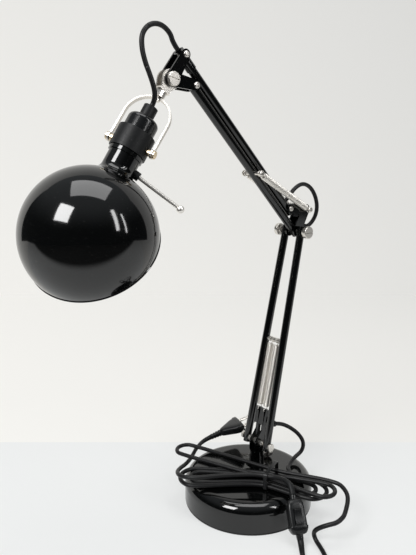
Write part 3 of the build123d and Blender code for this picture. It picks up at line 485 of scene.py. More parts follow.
def spline_points(name, route, resolution=10):
    """Points along the smooth line that has the route as its control points."""
    curve = route_curve(name + "_line", route, resolution)
    bpy.context.view_layer.update()
    flat = bpy.data.meshes.new_from_object(curve.evaluated_get(bpy.context.evaluated_depsgraph_get()))
    points = [curve.matrix_world @ v.co for v in flat.vertices]
    data = curve.data
    bpy.data.objects.remove(curve)
    bpy.data.curves.remove(data)
    bpy.data.meshes.remove(flat)
    return points


def route_curve(name, route, resolution):
    data = bpy.data.curves.new(name, "CURVE")
    data.dimensions = "3D"
    spline = data.splines.new("NURBS")
    spline.points.add(len(route) - 1)
    for point, place in zip(spline.points, route):
        point.co = (*place, 1)
    spline.order_u = 3
    spline.use_endpoint_u = True
    spline.resolution_u = resolution
    obj = bpy.data.objects.new(name, data)
    bpy.context.scene.collection.objects.link(obj)
    return obj


def run_length(points):
    return sum((b - a).length for a, b in zip(points, points[1:]))


# Cord routes, in millimetres: the solids' points, eased after the photograph

CORD_RADIUS = 2.4
CORD_END = 2.4 * CORD_RADIUS
LOWER_EXIT_Y = 16.298
TUBE_OUTSIDE = 7.5

HEAD_LOOP = [
    (98.5, -9.5, 512.6),
    (109.2, -9.5, 519.3),
    (121.7, -9.5, 517.5),
    (130.1, -9.3, 508.1),
    (130.8, -8.5, 495.5),
    (128.6, -6.8, 483.5),
    (124.8, -4.6, 472),
    (121.6, -3.2, 461),
]
ELBOW_LOOP = [
    (-76.5, -8.8, 364.5),
    (-88, -7.9, 369),
    (-99.5, -6.6, 364.5),
    (-106.8, -5, 354.5),
    (-109.3, -3.3, 342.5),
    (-109.4, -4.6, 331),
    (-104.6, -7.2, 321),
]
LEAD_OUT = [
    (-54.5, 14, 78.5),
    (-62.5, 20.5, 70.5),
    (-68.3, 25, 59.5),
    (-67, 24.5, 47.5),
    (-58, 20.2, 40),
]
LEAD_RUN = [
    (-8, 127, 29),
    (-0.5, 121, 26.5),
    (4, 114, 21.5),
    (4.5, 108.5, 15.5),
    (3, 106, 9.5),
    (3.5, 109.5, 4.3),
    (6, 117.5, 2.6),
    (11, 127.5, 2.5),
    (18, 137, 2.5),
    (28, 140.5, 2.5),
    (36.5, 134, 2.5),
    (36.5, 123.5, 2.5),
    (29.5, 114.5, 2.7),
]
PLUG_LEAD = [
    (5, 70.5, 53),
    (5, 60, 53.3),
    (8, 47.5, 50.8),
    (16.5, 35, 50.7),
    (28, 25.5, 50.6),
    (40.5, 16.5, 50.5),
    (54, 8, 50.4),
    (68, -0.5, 50),
    (79, -10.5, 49),
    (84, -22.5, 47.3),
    (79, -35, 45),
    (67, -44.5, 41.5),
    (54, -51.5, 38.6),
    (41.5, -59.5, 37.2),
    (30, -68, 37.2),
    (20, -75, 38.2),
]
HANK_CENTRE = Vector((-1, 37, 0))
HANK_ALONG = Vector((-0.387, 0.922, 0)).normalized()
HANK_BACK = Vector((0, 0, 1)).cross(HANK_ALONG)
HANK_LOW = 38.0
HANK_HIGH = 43.9
SHOULDER_SHARE = 1.1
FIRST_LENGTH = 64
FIRST_SWING = -4
FIRST_HALF = 19
LAST_LENGTH = 88
LOOP_DROOP = Vector((4, 3, -8))
APPROACH_STEP = 12
ROUND_OUT = 1.03
SWITCH_FOOT = Vector((18.5, 100.0, 12.5))
SWITCH_HEAD = Vector((9.5, 82.0, 40.5))
SWITCH_ALONG = (SWITCH_HEAD - SWITCH_FOOT).normalized()
SWITCH_TAIL = 5.0
PLUG_START = Vector((-3.4, -74.1, 46.7))
PLUG_ALONG = Vector((-0.90, 0.32, 0.28)).normalized()
PLUG_ACROSS = Vector((0, 0, 1)).cross(PLUG_ALONG).normalized()
PLUG_ROLL = math.radians(-6)


def metres(points):
    return [Vector(p) * MM for p in points]


def hank_place(u, v, z):
    return HANK_CENTRE + HANK_ALONG * u + HANK_BACK * v + Vector((0, 0, z))


def loop_axes(end, swing):
    turn = math.radians(swing)
    out = Vector((end * math.cos(turn), -math.sin(turn)))
    front = Vector((-end * math.sin(turn), -math.cos(turn)))
    return out, front


def loop_end(end, length, swing, half, z_from, z_to):
    """Points round one end of a loop of the hank, swung to the front by so many degrees."""
    out, front = loop_axes(end, swing)
    reach = SHOULDER_SHARE * half
    places = []
    for i, turn in enumerate((-75, -45, -15, 15, 45, 75)):
        angle = math.radians(turn)
        along = length - reach + reach * ROUND_OUT * math.cos(angle)
        across = half * ROUND_OUT * math.sin(angle) * end
        place = out * along + front * across
        places.append(hank_place(place.x, place.y, z_from + (z_to - z_from) * i / 5))
    return places


def waist(v, z, spread=11):
    """Two points side by side under the tie, in the order the cord runs."""
    way = -1 if v < 0 else 1
    return [hank_place(-spread * way, v, z), hank_place(spread * way, v, z)]


def hank_route():
    """Four loop ends low and three on top of them, each with its own length, swing and half width."""
    low = HANK_LOW
    high = HANK_HIGH
    route = loop_end(1, FIRST_LENGTH, FIRST_SWING, FIRST_HALF, low, low)
    route += waist(-13, low)
    route += loop_end(-1, 104, 24, 20, low, low)
    route += waist(13, low)
    route += loop_end(1, 52, -4, 12.5, low, low)
    route += waist(-6.7, low)
    route += loop_end(-1, 92, 24, 13, low, low)
    route += [hank_place(-10, 6.5, low + 0.3), hank_place(6, 6.9, low + 2), hank_place(18, 7.6, high - 0.6)]
    route += [hank_place(32, 8.6, high)]
    route += loop_end(1, 74, 0, 14.5, high, high)
    route += waist(-7, high)
    route += loop_end(-1, 127, -3, 13.5, high, high)
    route += waist(13.5, high)
    route += loop_end(1, LAST_LENGTH, 0, 24, high, high - 14)[:3]
    return route


def hank_start():
    out, front = loop_axes(1, FIRST_SWING)
    shoulder = out * (FIRST_LENGTH - SHOULDER_SHARE * FIRST_HALF - CORD_END) - front * FIRST_HALF
    return hank_place(shoulder.x, shoulder.y, HANK_LOW)


def hank_finish():
    return hank_place(LAST_LENGTH, -CORD_END, HANK_HIGH - 5) + LOOP_DROOP


def head_route():
    start = [local(LINK, 0, 0, 219), local(LINK, 0, 0, 228)]
    end = [local(HEAD, 5.2, 0.8, 50.0), local(HEAD, 0, 0, 45.5), local(HEAD, 0, 0, 40.5)]
    return start + metres(HEAD_LOOP) + end


def elbow_route():
    start = [local(LINK, -4.1, 0, 8), local(LINK, -13, 0, 8)]
    end = [local(WEB, -12, 0, 0), local(WEB, -1, 0, 0)]
    return start + metres(ELBOW_LOOP) + end


def lead_route():
    start = [
        local(LOWER, -TUBE_OUTSIDE + 1, LOWER_EXIT_Y, 27),
        local(LOWER, -TUBE_OUTSIDE - 9, LOWER_EXIT_Y + 1, 27),
    ]
    approach = []
    point = hank_start()
    out = loop_axes(1, FIRST_SWING)[0]
    heading = HANK_ALONG * out.x + HANK_BACK * out.y
    for turn in (0, 30, 60, 90):
        point = point - Matrix.Rotation(math.radians(-turn), 3, "Z") @ heading * APPROACH_STEP
        approach.insert(0, point)
    return start + metres(LEAD_OUT + approach + [hank_start()])


def base_lead_route():
    finish_point = hank_finish()
    tail = SWITCH_FOOT - SWITCH_ALONG * SWITCH_TAIL
    route = [hank_start()] + hank_route() + [finish_point, finish_point - HANK_BACK * 9]
    route += LEAD_RUN + [tail - SWITCH_ALONG * 5, tail]
    return metres(route)


def plug_route():
    tail = SWITCH_HEAD + SWITCH_ALONG * SWITCH_TAIL
    route = [tail, tail + SWITCH_ALONG * 5] + PLUG_LEAD + [PLUG_START - PLUG_ALONG * 11, PLUG_START]
    return metres(route)


def cut(points, shares):
    """Split a line of points where its length reaches each share."""
    total = run_length(points)
    pieces = []
    current = [points[0]]
    done = 0
    goals = [share * total for share in shares]
    for a, b in zip(points, points[1:]):
        done += (b - a).length
        current.append(b)
        if goals and done >= goals[0]:
            pieces.append(current)
            current = [b]
            goals.pop(0)
    pieces.append(current)
    return pieces


def cord_piece(name, points):
    """A round stretch of the cord."""
    radius = sizes().cord_diameter / 2
    piece = dress(tube_mesh(name, points, radius, 20), "cord")
    return piece


SLEEVE_SKIN = 0.00012
SWITCH_SLEEVE = (0.020, 0.0034)
PLUG_SLEEVE = (0.014, 0.0030)


def relief_sleeve(name, points, length, thick):
    """Tapered rubber sleeve over the first stretch of a cord."""
    thin = sizes().cord_diameter / 2 + SLEEVE_SKIN
    path = [points[0]]
    done = 0
    for a, b in zip(points, points[1:]):
        done += (b - a).length
        path.append(b)
        if done >= length:
            break
    radii = []
    gone = 0
    for i, point in enumerate(path):
        if i > 0:
            gone += (point - path[i - 1]).length
        radii.append(thick + (thin - thick) * min(gone / length, 1))
    sleeve = dress(tube_mesh(name, path, radii, 24), "matte_plastic")
    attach(sleeve, "base")
    return sleeve


# Operators, one for each group of pieces


class LAMP_OT_finishes(bpy.types.Operator):
    """Give every solid of the lamp its finish"""

    bl_idname = "lamp.finishes"
    bl_label = "Finishes"

    def execute(self, context):
        make_materials()
        by_slot = {
            "black_enamel": "enamel",
            "nickel": "nickel",
            "cord_rubber": "cord",
            "black_plastic": "gloss_plastic",
            "matte_black_plastic": "matte_plastic",
            "foam_pad": "pad",
            "iron": "iron",
            "white_insulator": "ceramic",
            "brass": "brass",
            "bulb_glass": "bulb",
        }
        for entry in frame["record"]["subparts"]:
            dress(NODES[entry["node"]], by_slot[entry["material_slot"]])
        dress(NODES["yoke_screws"], "warm_nickel")
        dress(NODES["hank_tie"], "tie")
        dress(NODES["switch_rocker"], "satin_plastic")
        dress(NODES["handle_rod"], "wire")
        return {"FINISHED"}


BASE_RADIUS = 75.0
BASE_HEIGHT = 34.0
BASE_SKIN = 1.5
BASE_EDGE = 13.0
BASE_FOOT = 2.0
BASE_HOLE = 5.3


class LAMP_OT_base(bpy.types.Operator):
    """Turn the base cover with its wide rounded edge"""

    bl_idname = "lamp.base"
    bl_label = "Base cover"

    def execute(self, context):
        inner = BASE_RADIUS - BASE_SKIN
        under = BASE_HEIGHT - BASE_SKIN
        middle = BASE_RADIUS - BASE_EDGE
        rise = BASE_HEIGHT - BASE_EDGE
        profile = [(inner, BASE_FOOT), (74.7, BASE_FOOT), (BASE_RADIUS, 2.3), (BASE_RADIUS, 12)]
        profile += arc(middle, rise, BASE_EDGE, 0, 90, 24)
        profile += [(50, BASE_HEIGHT), (30, BASE_HEIGHT), (BASE_HOLE, BASE_HEIGHT)]
        profile += [(BASE_HOLE, under), (40, under)]
        profile += arc(middle, rise, BASE_EDGE - BASE_SKIN, 90, 0, 12)
        profile += [(inner, 12), (inner, BASE_FOOT)]
        cover = weld(lathe("base_shell", profile, Matrix.Identity(4), 160))
        dress(soften(cover, 40), "enamel")
        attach(cover, "base")
        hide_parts("base_cover")
        return {"FINISHED"}


COIL_RADIUS = 0.0034
HOOK_RADIUS = 0.0027
HOOK_STEPS = 16
HOOK_SWEEP = 250
TURN_STEPS = 14
LOWER_ANCHOR = 40.0
LOWER_PIN = 126.0
LOWER_APART = 4.9
UPPER_PIN = 95
UPPER_APART = 11


def spring_path(start, end, turns):
    """A close-wound spring with an open ring at each end, along a straight axis in metres."""
    axis = (end - start).normalized()
    side = HINGE.cross(axis).normalized()
    hook = HOOK_RADIUS
    body_from = 1.6 * hook + 0.0008
    body_to = (end - start).length - body_from
    path = []
    for i in range(HOOK_STEPS + 1):
        angle = math.radians(-70 + HOOK_SWEEP * i / HOOK_STEPS)
        path.append(start + axis * (-hook * math.sin(angle)) + side * (hook * math.cos(angle)))
    path.append(start + axis * (hook * 1.15) - side * (hook * 0.75))
    steps = TURN_STEPS * turns
    for i in range(steps + 1):
        angle = 2 * math.pi * i / TURN_STEPS + math.pi
        swell = COIL_RADIUS * min(1.0, 0.45 + i / TURN_STEPS, 0.45 + (steps - i) / TURN_STEPS)
        centre = start + axis * (body_from + (body_to - body_from) * i / steps)
        path.append(centre + side * (swell * math.cos(angle)) + HINGE * (swell * math.sin(angle)))
    path.append(end - axis * (hook * 1.15) - side * (hook * 0.75))
    for i in range(HOOK_STEPS + 1):
        angle = math.radians(180 - HOOK_SWEEP * i / HOOK_STEPS)
        path.append(end + axis * (hook * math.sin(angle)) + side * (hook * math.cos(angle)))
    return path


class LAMP_OT_springs(bpy.types.Operator):
    """Wind the four balance springs with their end hooks"""

    bl_idname = "lamp.springs"
    bl_label = "Springs"

    def execute(self, context):
        for side, name in ((1, "near"), (-1, "far")):
            foot = local(LOWER, 0, side * LOWER_APART, LOWER_ANCHOR)
            top = local(LOWER, 0, side * LOWER_APART, LOWER_PIN)
            coil = self.wind(name + "_lower_coil", foot, top, name + "_lower_spring")
            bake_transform(coil)
            anchor = ELBOW + WEB_SPAN + HINGE * (side * UPPER_APART * MM)
            pin = local(UPPER, 0, side * UPPER_APART, UPPER_PIN)
            coil = self.wind(name + "_upper_coil", anchor, pin, name + "_upper_spring")
            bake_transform(coil)
        return {"FINISHED"}

    def wind(self, name, start, end, node):
        path = spring_path(start, end, sizes().spring_turns)
        coil = dress(tube_mesh(name, path, sizes().spring_wire / 2, 8), "wire")
        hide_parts(node)
        return coil


BOWL_RADIUS = 63
BOWL_INSIDE = 61.8
BOWL_SEGMENTS = 144
BOWL_MOUTH = Vector((-0.917, 0.176, -0.357)).normalized()
SHADE_ASIDE = 6.8
SHADE_CENTRE = 92.1
NECK_RADIUS = 15.3
NECK_SKIN = 15.52
FLARE_SKIN = 63.03
FLARE_RADIUS = 23.0
FLARE_RISE = 6.5
FLARE_SEGMENTS = 96
FLARE_STEPS = 8


class LAMP_OT_shade(bpy.types.Operator):
    """Spin the bowl of the shade about its mouth and open it for the neck"""

    bl_idname = "lamp.shade"
    bl_label = "Shade bowl"

    def execute(self, context):
        centre = local(HEAD, 0, SHADE_ASIDE, -SHADE_CENTRE)
        mouth = HEAD.to_3x3() @ BOWL_MOUTH
        turned = axes_frame(centre, mouth, HEAD.col[1].to_3d())
        outer = arc(0, 0, BOWL_RADIUS, -90, 12.4, 56)
        bead = arc(60.85, 14.2, 1.25, -10, 190, 12)
        inner = arc(0, 0, BOWL_INSIDE, 12.8, -90, 48)
        outer[0] = (0, -BOWL_RADIUS)
        inner[-1] = (0, -BOWL_INSIDE)
        bowl = lathe("shade_shell", outer + bead + inner, turned, BOWL_SEGMENTS)
        dress(bowl, "enamel", "inside")
        inside_from = (len(outer) + len(bead) - 1) * BOWL_SEGMENTS
        for face in bowl.data.polygons:
            face.material_index = 1 if face.index >= inside_from else 0
        drill = [(0, -60), (NECK_RADIUS, -60), (NECK_RADIUS, 0), (0, 0)]
        carve(bowl, lathe("neck_drill", drill, HEAD, 64))
        soften(bowl, 40)
        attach(bowl, "shade")
        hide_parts("shade_bowl")
        self.flare()
        return {"FINISHED"}

    def flare(self):
        """The drawn fillet where the neck runs out into the bowl."""
        verts = []
        for i in range(FLARE_SEGMENTS):
            angle = 2 * math.pi * i / FLARE_SEGMENTS
            foot = self.on_bowl(angle, NECK_SKIN)
            edge = self.on_bowl(angle, FLARE_RADIUS)
            start = foot + Vector((0, 0, FLARE_RISE))
            for step in range(FLARE_STEPS + 1):
                t = step / FLARE_STEPS
                verts.append(start * (1 - t) ** 2 + foot * 2 * t * (1 - t) + edge * t**2)
            verts.append(Vector((foot.x, foot.y, edge.z - 1.2)) * 0.99)
        rows = FLARE_STEPS + 2
        faces = []
        for i in range(FLARE_SEGMENTS):
            here = i * rows
            there = (i + 1) % FLARE_SEGMENTS * rows
            for row in range(rows):
                up = (row + 1) % rows
                faces.append((here + row, here + up, there + up, there + row))
        ring = mesh_object("neck_flare", [local(HEAD, *v) for v in verts], faces)
        weld(ring)
        dress(soften(ring, 50), "enamel")
        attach(ring, "shade")

    def on_bowl(self, angle, radius):
        """Where a line beside the neck's axis meets the bowl, in millimetres of the head's frame."""
        x = radius * math.cos(angle)
        y = radius * math.sin(angle)
        drop = math.sqrt(FLARE_SKIN**2 - x**2 - (y - SHADE_ASIDE) ** 2)
        return Vector((x, y, drop - SHADE_CENTRE))


# Rings of the moulded cases: place along the case, half width, half depth and squareness
SWITCH_CASE = [
    (-1.29, 3.2, 3.2, 2),
    (-1.275, 3.6, 3.6, 2),
    (-1.02, 3.8, 3.7, 2.1),
    (-1.0, 6.1, 4.0, 3.2),
    (-0.965, 7.2, 4.8, 3.6),
    (-0.88, 8.5, 5.7, 4.2),
    (-0.68, 9.9, 6.7, 5),
    (-0.54, 10.2, 6.9, 5),
    (-0.525, 10.1, 6.8, 5),
    (-0.52, 9.5, 6.4, 5),
    (0.50, 9.3, 6.4, 5),
    (0.75, 8.8, 6.1, 4.6),
    (0.90, 7.8, 5.5, 4),
    (0.97, 6.5, 4.7, 3.6),
    (1.0, 5.5, 4.0, 3.2),
    (1.02, 3.8, 3.7, 2.1),
    (1.275, 3.6, 3.6, 2),
    (1.29, 3.2, 3.2, 2),
]
PLUG_CASE = [
    (14.2, 4.3, 4.2, 2.2),
    (15.0, 4.9, 4.7, 2.3),
    (17.5, 6.2, 5.2, 2.5),
    (21.5, 8.4, 5.6, 2.8),
    (26.5, 11.3, 5.9, 3.2),
    (31.0, 13.9, 6.1, 3.6),
    (34.0, 15.0, 6.15, 4),
    (36.2, 15.3, 6.15, 4),
    (36.5, 16.4, 6.45, 4.2),
    (37.2, 16.8, 6.5, 4.2),
    (40.8, 17.0, 6.5, 4.2),
    (41.6, 16.6, 6.1, 4.2),
    (42.0, 15.8, 5.4, 4),
]
ROCKER_OPENING = [(-7.9, 4.3, 5, 30), (7.9, 4.3, 5, 30)]
ROCKER_RISE = 0.0075
PIN_APART = 0.0093
PIN_FOOT = 0.0415
RIBS = 4
RIB_PITCH = 3.6


class LAMP_OT_switch_and_plug(bpy.types.Operator):
    """Mould the in-line switch and the flat two-pin plug"""

    bl_idname = "lamp.switch_and_plug"
    bl_label = "Switch and plug"

    def execute(self, context):
        middle = (SWITCH_HEAD + SWITCH_FOOT) / 2 * MM
        across = Vector((0, 0, 1)).cross(SWITCH_ALONG).normalized()
        flat = axes_frame(middle, SWITCH_ALONG, SWITCH_ALONG.cross(across))
        half = (SWITCH_HEAD - SWITCH_FOOT).length / 2
        case = loft("switch_case", [(z * half, x, y, n) for z, x, y, n in SWITCH_CASE], flat)
        raised = flat @ Matrix.Translation((0, ROCKER_RISE, 0))
        carve(case, loft("rocker_opening", ROCKER_OPENING, raised))
        self.keep(case, "switch_body", 38)
        plug_flat = axes_frame(PLUG_START * MM, PLUG_ALONG, PLUG_ALONG.cross(PLUG_ACROSS))
        turned = plug_flat @ Matrix.Rotation(PLUG_ROLL, 4, "Z")
        self.keep(loft("plug_case", self.ribs() + PLUG_CASE, turned), "plug_body", 30)
        for side, name in ((1, "near"), (-1, "far")):
            self.pin(name + "_plug_pin", turned @ Matrix.Translation((side * PIN_APART, 0, PIN_FOOT)))
        return {"FINISHED"}

    def pin(self, name, foot):
        """A round pin with a sleeved root and a domed tip."""
        profile = [(0, 0), (2.15, 0), (2.15, 8.6), (1.98, 8.9)] + arc(0, 17.9, 1.98, 0, 90, 8)
        profile[-1] = (0, 19.88)
        piece = weld(lathe(name, profile, foot, 32))
        dress(soften(piece, 50), "nickel")
        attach(piece, "base")
        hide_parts("plug_pins")

    def ribs(self):
        """Bands of the plug's bend relief, thinner towards the cord."""
        rings = []
        for rib in range(RIBS):
            foot = RIB_PITCH * rib
            thick = 3.5 + 0.22 * rib
            rings += [(foot, thick - 0.55, thick - 0.55, 2), (foot + 0.3, thick, thick, 2)]
            rings += [(foot + 1.9, thick, thick, 2), (foot + 2.2, thick - 0.6, thick - 0.6, 2)]
        return rings

    def keep(self, piece, node, angle):
        """Finish a moulded case and let it stand for its solid."""
        weld(piece)
        dress(soften(piece, angle), "satin_plastic")
        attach(piece, "base")
        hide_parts(node)


class LAMP_OT_cords(bpy.types.Operator):
    """Lay the cord: head loop, elbow loop, lead to the base, hank, switch lead and plug lead"""

    bl_idname = "lamp.cords"
    bl_label = "Cord"

    def execute(self, context):
        self.across_head()
        elbow = spline_points("elbow_loop", elbow_route())
        piece = cord_piece("elbow_loop", elbow)
        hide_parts("elbow_cord")
        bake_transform(piece)
        lead = cut(spline_points("lead", lead_route()), [0.42])
        for points, name, a, b in (
            (lead[0], "lead_from_arm", "lower_arm", "swivel_bracket"),
            (lead[1], "lead_to_base", "swivel_bracket", "base"),
        ):
            piece = cord_piece(name, points)
            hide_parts("lead_out")
            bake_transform(piece)
        base_lead = spline_points("base_lead", base_lead_route(), 5)
        relief_sleeve("switch_foot_sleeve", base_lead[::-1], *SWITCH_SLEEVE)
        piece = cord_piece("hank_and_run", base_lead)
        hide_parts("cord_hank", "lead_run")
        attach(piece, "base")
        plug = spline_points("plug_tail", plug_route())
        ends = [bpy.data.objects[name] for name in ("plug_case", "near_plug_pin", "far_plug_pin")]
        ends.append(relief_sleeve("switch_head_sleeve", plug, *SWITCH_SLEEVE))
        ends.append(relief_sleeve("plug_sleeve", plug[::-1], *PLUG_SLEEVE))
        piece = cord_piece("plug_tail", plug)
        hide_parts("plug_lead")
        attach(piece, "base")
        return {"FINISHED"}

    def across_head(self):
        """The loop over three joints, one stretch for each."""
        parts = cut(spline_points("head_loop", head_route()), [0.36, 0.68])
        for i, points in enumerate(parts):
            piece = cord_piece(f"head_loop_{i + 1}", points)
            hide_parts("head_cord")
            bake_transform(piece)


CAMERA_PLACE = Vector((0.43206, 0.46440, 0.39961))
CAMERA_TILT = math.radians(78.28)
CAMERA_TURN = math.radians(141.38)
FOCAL_PIXELS = 583.2
FRAME_HEIGHT = 555
TABLE_REACH = 0.768
FLOOR_PALE_TO = 0.42
FLOOR_DARK_FROM = 0.62
VIEW_AHEAD = Vector((-math.sin(CAMERA_TURN), math.cos(CAMERA_TURN), 0))
VIEW_RIGHT = Vector((math.cos(CAMERA_TURN), math.sin(CAMERA_TURN), 0))
TABLE_EDGE = CAMERA_PLACE.dot(VIEW_AHEAD) + TABLE_REACH
WALL_PLACE = TABLE_EDGE + 0.9
# Painted window light on the wall: its slope across, ahead and up, and its two colours
BACK_ACROSS = 0.415
BACK_AHEAD = 0.143
BACK_UP = 0.36
BACK_SLOPE = VIEW_RIGHT * BACK_ACROSS + VIEW_AHEAD * BACK_AHEAD + Vector((0, 0, BACK_UP))
BACK_START = 0.17 - CAMERA_PLACE.dot(VIEW_RIGHT) * BACK_ACROSS - TABLE_EDGE * BACK_AHEAD
BACK_PALE = (0.93, 0.92, 0.885)
BACK_DIM = (0.70, 0.70, 0.685)
TABLE_PALE = (0.845, 0.855, 0.85)
TABLE_DIM = (0.06, 0.06, 0.06)
TABLE_GLOW = 0.6
PAST_GLOW = 0.15
FAR_GLOW = 0.10
FAR_REACH = 0.3
WALL_GLOW = 0.85
ROOM_GLOW = 0.04
CEILING_GLOW = 0.30
ROOM_COLOUR = (0.82, 0.87, 0.91)
STAGE_HALF = 2.5
WALL_HEIGHT = 2.6
SENSOR_HEIGHT = 24
LAMP_MIDDLE = Vector((0.05, 0, 0.25))
# Lights from the middle of the lamp: towards the camera, to the right, up, width, height and watts
LIGHTS = {
    "ceiling_light": (0.15, 0, 1.5, 1.2, 0.8, 10),
    "window_left": (0.95, -0.75, 0.95, 0.55, 0.6, 17),
    "window_right": (0.8, 1.0, 0.75, 0.14, 0.8, 4),
    "door_gap": (0.55, 1.25, 0.6, 0.06, 0.7, 1.6),
}


class LAMP_OT_stage(bpy.types.Operator):
    """Set the table, the wall, the lights and the camera"""

    bl_idname = "lamp.stage"
    bl_label = "Stage"

    def execute(self, context):
        scene = context.scene
        camera_data = bpy.data.cameras.new("photo_camera")
        camera_data.sensor_fit = "VERTICAL"
        camera_data.sensor_height = SENSOR_HEIGHT
        camera_data.lens = SENSOR_HEIGHT * FOCAL_PIXELS / FRAME_HEIGHT
        camera_data.clip_start = 0.01
        camera = bpy.data.objects.new("photo_camera", camera_data)
        camera.location = CAMERA_PLACE
        camera.rotation_euler = (CAMERA_TILT, 0, CAMERA_TURN)
        scene.collection.objects.link(camera)
        scene.camera = camera
        corners = ((-1, -1), (1, -1), (1, 1), (-1, 1))
        floor = [(x * STAGE_HALF, y * STAGE_HALF, 0) for x, y in corners]
        self.sheet("table_top", floor, self.floor_look)
        middle = VIEW_AHEAD * WALL_PLACE
        left = middle - VIEW_RIGHT * STAGE_HALF
        right = middle + VIEW_RIGHT * STAGE_HALF
        rise = Vector((0, 0, WALL_HEIGHT))
        self.sheet("wall", [left, right, right + rise, left + rise], self.wall_look)
        self.room(scene)
        for name, setting in LIGHTS.items():
            self.light(scene, name, *setting)
        scene.view_settings.view_transform = "Standard"
        return {"FINISHED"}

    def sheet(self, name, corners, look):
        """A plain sheet that shows its own pale colour, keeps soft shadows and vanishes from behind."""
        obj = mesh_object(name, corners, [(0, 1, 2, 3)], smooth=False)
        material, nodes, links, shader = new_material(name + "_paint")
        shader.inputs["Roughness"].default_value = 0.6
        shader.inputs["Specular IOR Level"].default_value = 0.15
        material.cycles.emission_sampling = "NONE"
        bright = nodes.new("ShaderNodeEmission")
        bright.inputs["Strength"].default_value = 1
        path = nodes.new("ShaderNodeLightPath")
        colour, glow = look(nodes, links, path)
        links.new(colour, shader.inputs["Base Color"])
        links.new(colour, bright.inputs["Color"])
        seen = join(nodes, links, "MAXIMUM", path.outputs["Is Camera Ray"], path.outputs["Is Glossy Ray"])
        seen = join(nodes, links, "MAXIMUM", seen, path.outputs["Is Transmission Ray"])
        lit = nodes.new("ShaderNodeMixShader")
        links.new(join(nodes, links, "MULTIPLY", seen, glow), lit.inputs["Fac"])
        links.new(shader.outputs["BSDF"], lit.inputs[1])
        links.new(bright.outputs["Emission"], lit.inputs[2])
        clear = nodes.new("ShaderNodeBsdfTransparent")
        facing = nodes.new("ShaderNodeNewGeometry")
        choose = nodes.new("ShaderNodeMixShader")
        links.new(facing.outputs["Backfacing"], choose.inputs["Fac"])
        links.new(lit.outputs["Shader"], choose.inputs[1])
        links.new(clear.outputs["BSDF"], choose.inputs[2])
        links.new(choose.outputs["Shader"], nodes["Material Output"].inputs["Surface"])
        obj.data.materials.append(material)
        return obj

    def floor_look(self, nodes, links, path):
        """The table, dim far in front in reflections, and the paler floor past its back edge."""
        place = nodes.new("ShaderNodeNewGeometry")
        nearer = along(nodes, links, place, -VIEW_AHEAD)
        spread = ramp(nodes, links, nearer, FLOOR_PALE_TO, FLOOR_DARK_FROM)
        mirrored = join(nodes, links, "SUBTRACT", 1, path.outputs["Is Camera Ray"])
        dim = join(nodes, links, "MULTIPLY", spread, mirrored)
        table = blend_colours(nodes, links, dim, TABLE_PALE, TABLE_DIM)
        ahead = along(nodes, links, place, VIEW_AHEAD)
        past = join(nodes, links, "GREATER_THAN", ahead, TABLE_EDGE)
        mix = nodes.new("ShaderNodeMix")
        mix.data_type = "RGBA"
        links.new(past, mix.inputs["Factor"])
        links.new(table, mix.inputs["A"])
        # Past the table's edge the floor takes the wall's painted window light
        links.new(self.painted_window_light(nodes, links, place), mix.inputs["B"])
        rise = ramp(nodes, links, ahead, TABLE_EDGE, TABLE_EDGE + FAR_REACH)
        near = join(nodes, links, "MULTIPLY_ADD", past, PAST_GLOW, TABLE_GLOW)
        glow = join(nodes, links, "MULTIPLY_ADD", rise, FAR_GLOW, near)
        return mix.outputs["Result"], glow

    def wall_look(self, nodes, links, path):
        place = nodes.new("ShaderNodeNewGeometry")
        return self.painted_window_light(nodes, links, place), WALL_GLOW

    def painted_window_light(self, nodes, links, place):
        """Painted window light: the wall's colour darkens slowly to the right and upwards."""
        share = join(nodes, links, "ADD", along(nodes, links, place, BACK_SLOPE), BACK_START)
        return blend_colours(nodes, links, share, BACK_PALE, BACK_DIM)

    def room(self, scene):
        """A dim room with a paler ceiling, and a plain backdrop where the camera sees past the wall."""
        world = bpy.data.worlds.new("room")
        scene.world = world
        world.use_nodes = True
        world.cycles.sampling_method = "NONE"
        nodes = world.node_tree.nodes
        links = world.node_tree.links
        room = nodes["Background"]
        room.inputs["Color"].default_value = (*ROOM_COLOUR, 1)
        place = nodes.new("ShaderNodeTexCoord")
        split = nodes.new("ShaderNodeSeparateXYZ")
        links.new(place.outputs["Generated"], split.inputs["Vector"])
        overhead = ramp(nodes, links, split.outputs["Z"], 0.25, 0.95)
        glow = join(nodes, links, "MULTIPLY_ADD", overhead, CEILING_GLOW, ROOM_GLOW)
        links.new(glow, room.inputs["Strength"])
        backdrop = nodes.new("ShaderNodeBackground")
        backdrop.inputs["Color"].default_value = (*BACK_DIM, 1)
        path = nodes.new("ShaderNodeLightPath")
        choose = nodes.new("ShaderNodeMixShader")
        links.new(path.outputs["Is Camera Ray"], choose.inputs["Fac"])
        links.new(room.outputs["Background"], choose.inputs[1])
        links.new(backdrop.outputs["Background"], choose.inputs[2])
        links.new(choose.outputs["Shader"], nodes["World Output"].inputs["Surface"])

    def light(self, scene, name, nearer, aside, up, width, height, power):
        place = LAMP_MIDDLE - VIEW_AHEAD * nearer + VIEW_RIGHT * aside + Vector((0, 0, up))
        data = bpy.data.lights.new(name, "AREA")
        data.shape = "RECTANGLE"
        data.size = width
        data.size_y = height
        data.energy = power
        light = bpy.data.objects.new(name, data)
        light.location = place
        light.rotation_euler = (LAMP_MIDDLE - place).to_track_quat("-Z", "Y").to_euler()
        scene.collection.objects.link(light)


class LAMP_PT_panel(bpy.types.Panel):
    """Sizes, colours and steps of the lamp"""

    bl_idname = "LAMP_PT_panel"
    bl_label = "Desk lamp"
    bl_space_type = "VIEW_3D"
    bl_region_type = "UI"
    bl_category = "Lamp"

    def draw(self, context):
        layout = self.layout
        for settings in (context.scene.lamp_colours, context.scene.lamp_sizes):
            for name in settings.__annotations__:
                layout.prop(settings, name)
        for step in STEPS:
            layout.operator(step.bl_idname)


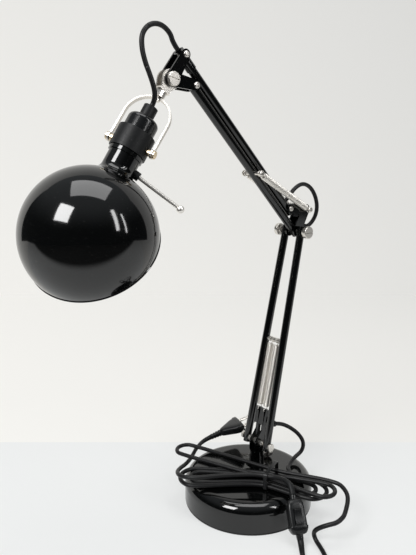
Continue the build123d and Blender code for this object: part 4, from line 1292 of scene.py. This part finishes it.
STEPS = (
    LAMP_OT_stage,
    LAMP_OT_finishes,
    LAMP_OT_base,
    LAMP_OT_springs,
    LAMP_OT_shade,
    LAMP_OT_switch_and_plug,
    LAMP_OT_cords,
)
CLASSES = (LampColours, LampSizes) + STEPS + (LAMP_PT_panel,)


def register():
    for entry in CLASSES:
        bpy.utils.register_class(entry)
    bpy.types.Scene.lamp_colours = PointerProperty(type=LampColours)
    bpy.types.Scene.lamp_sizes = PointerProperty(type=LampSizes)


def unregister():
    del bpy.types.Scene.lamp_sizes
    del bpy.types.Scene.lamp_colours
    for entry in reversed(CLASSES):
        bpy.utils.unregister_class(entry)


def main():
    register()
    bpy.ops.lamp.stage()
    bpy.ops.lamp.finishes()
    bpy.ops.lamp.base()
    bpy.ops.lamp.springs()
    bpy.ops.lamp.shade()
    bpy.ops.lamp.switch_and_plug()
    bpy.ops.lamp.cords()


if __name__ == "__main__":
    main()
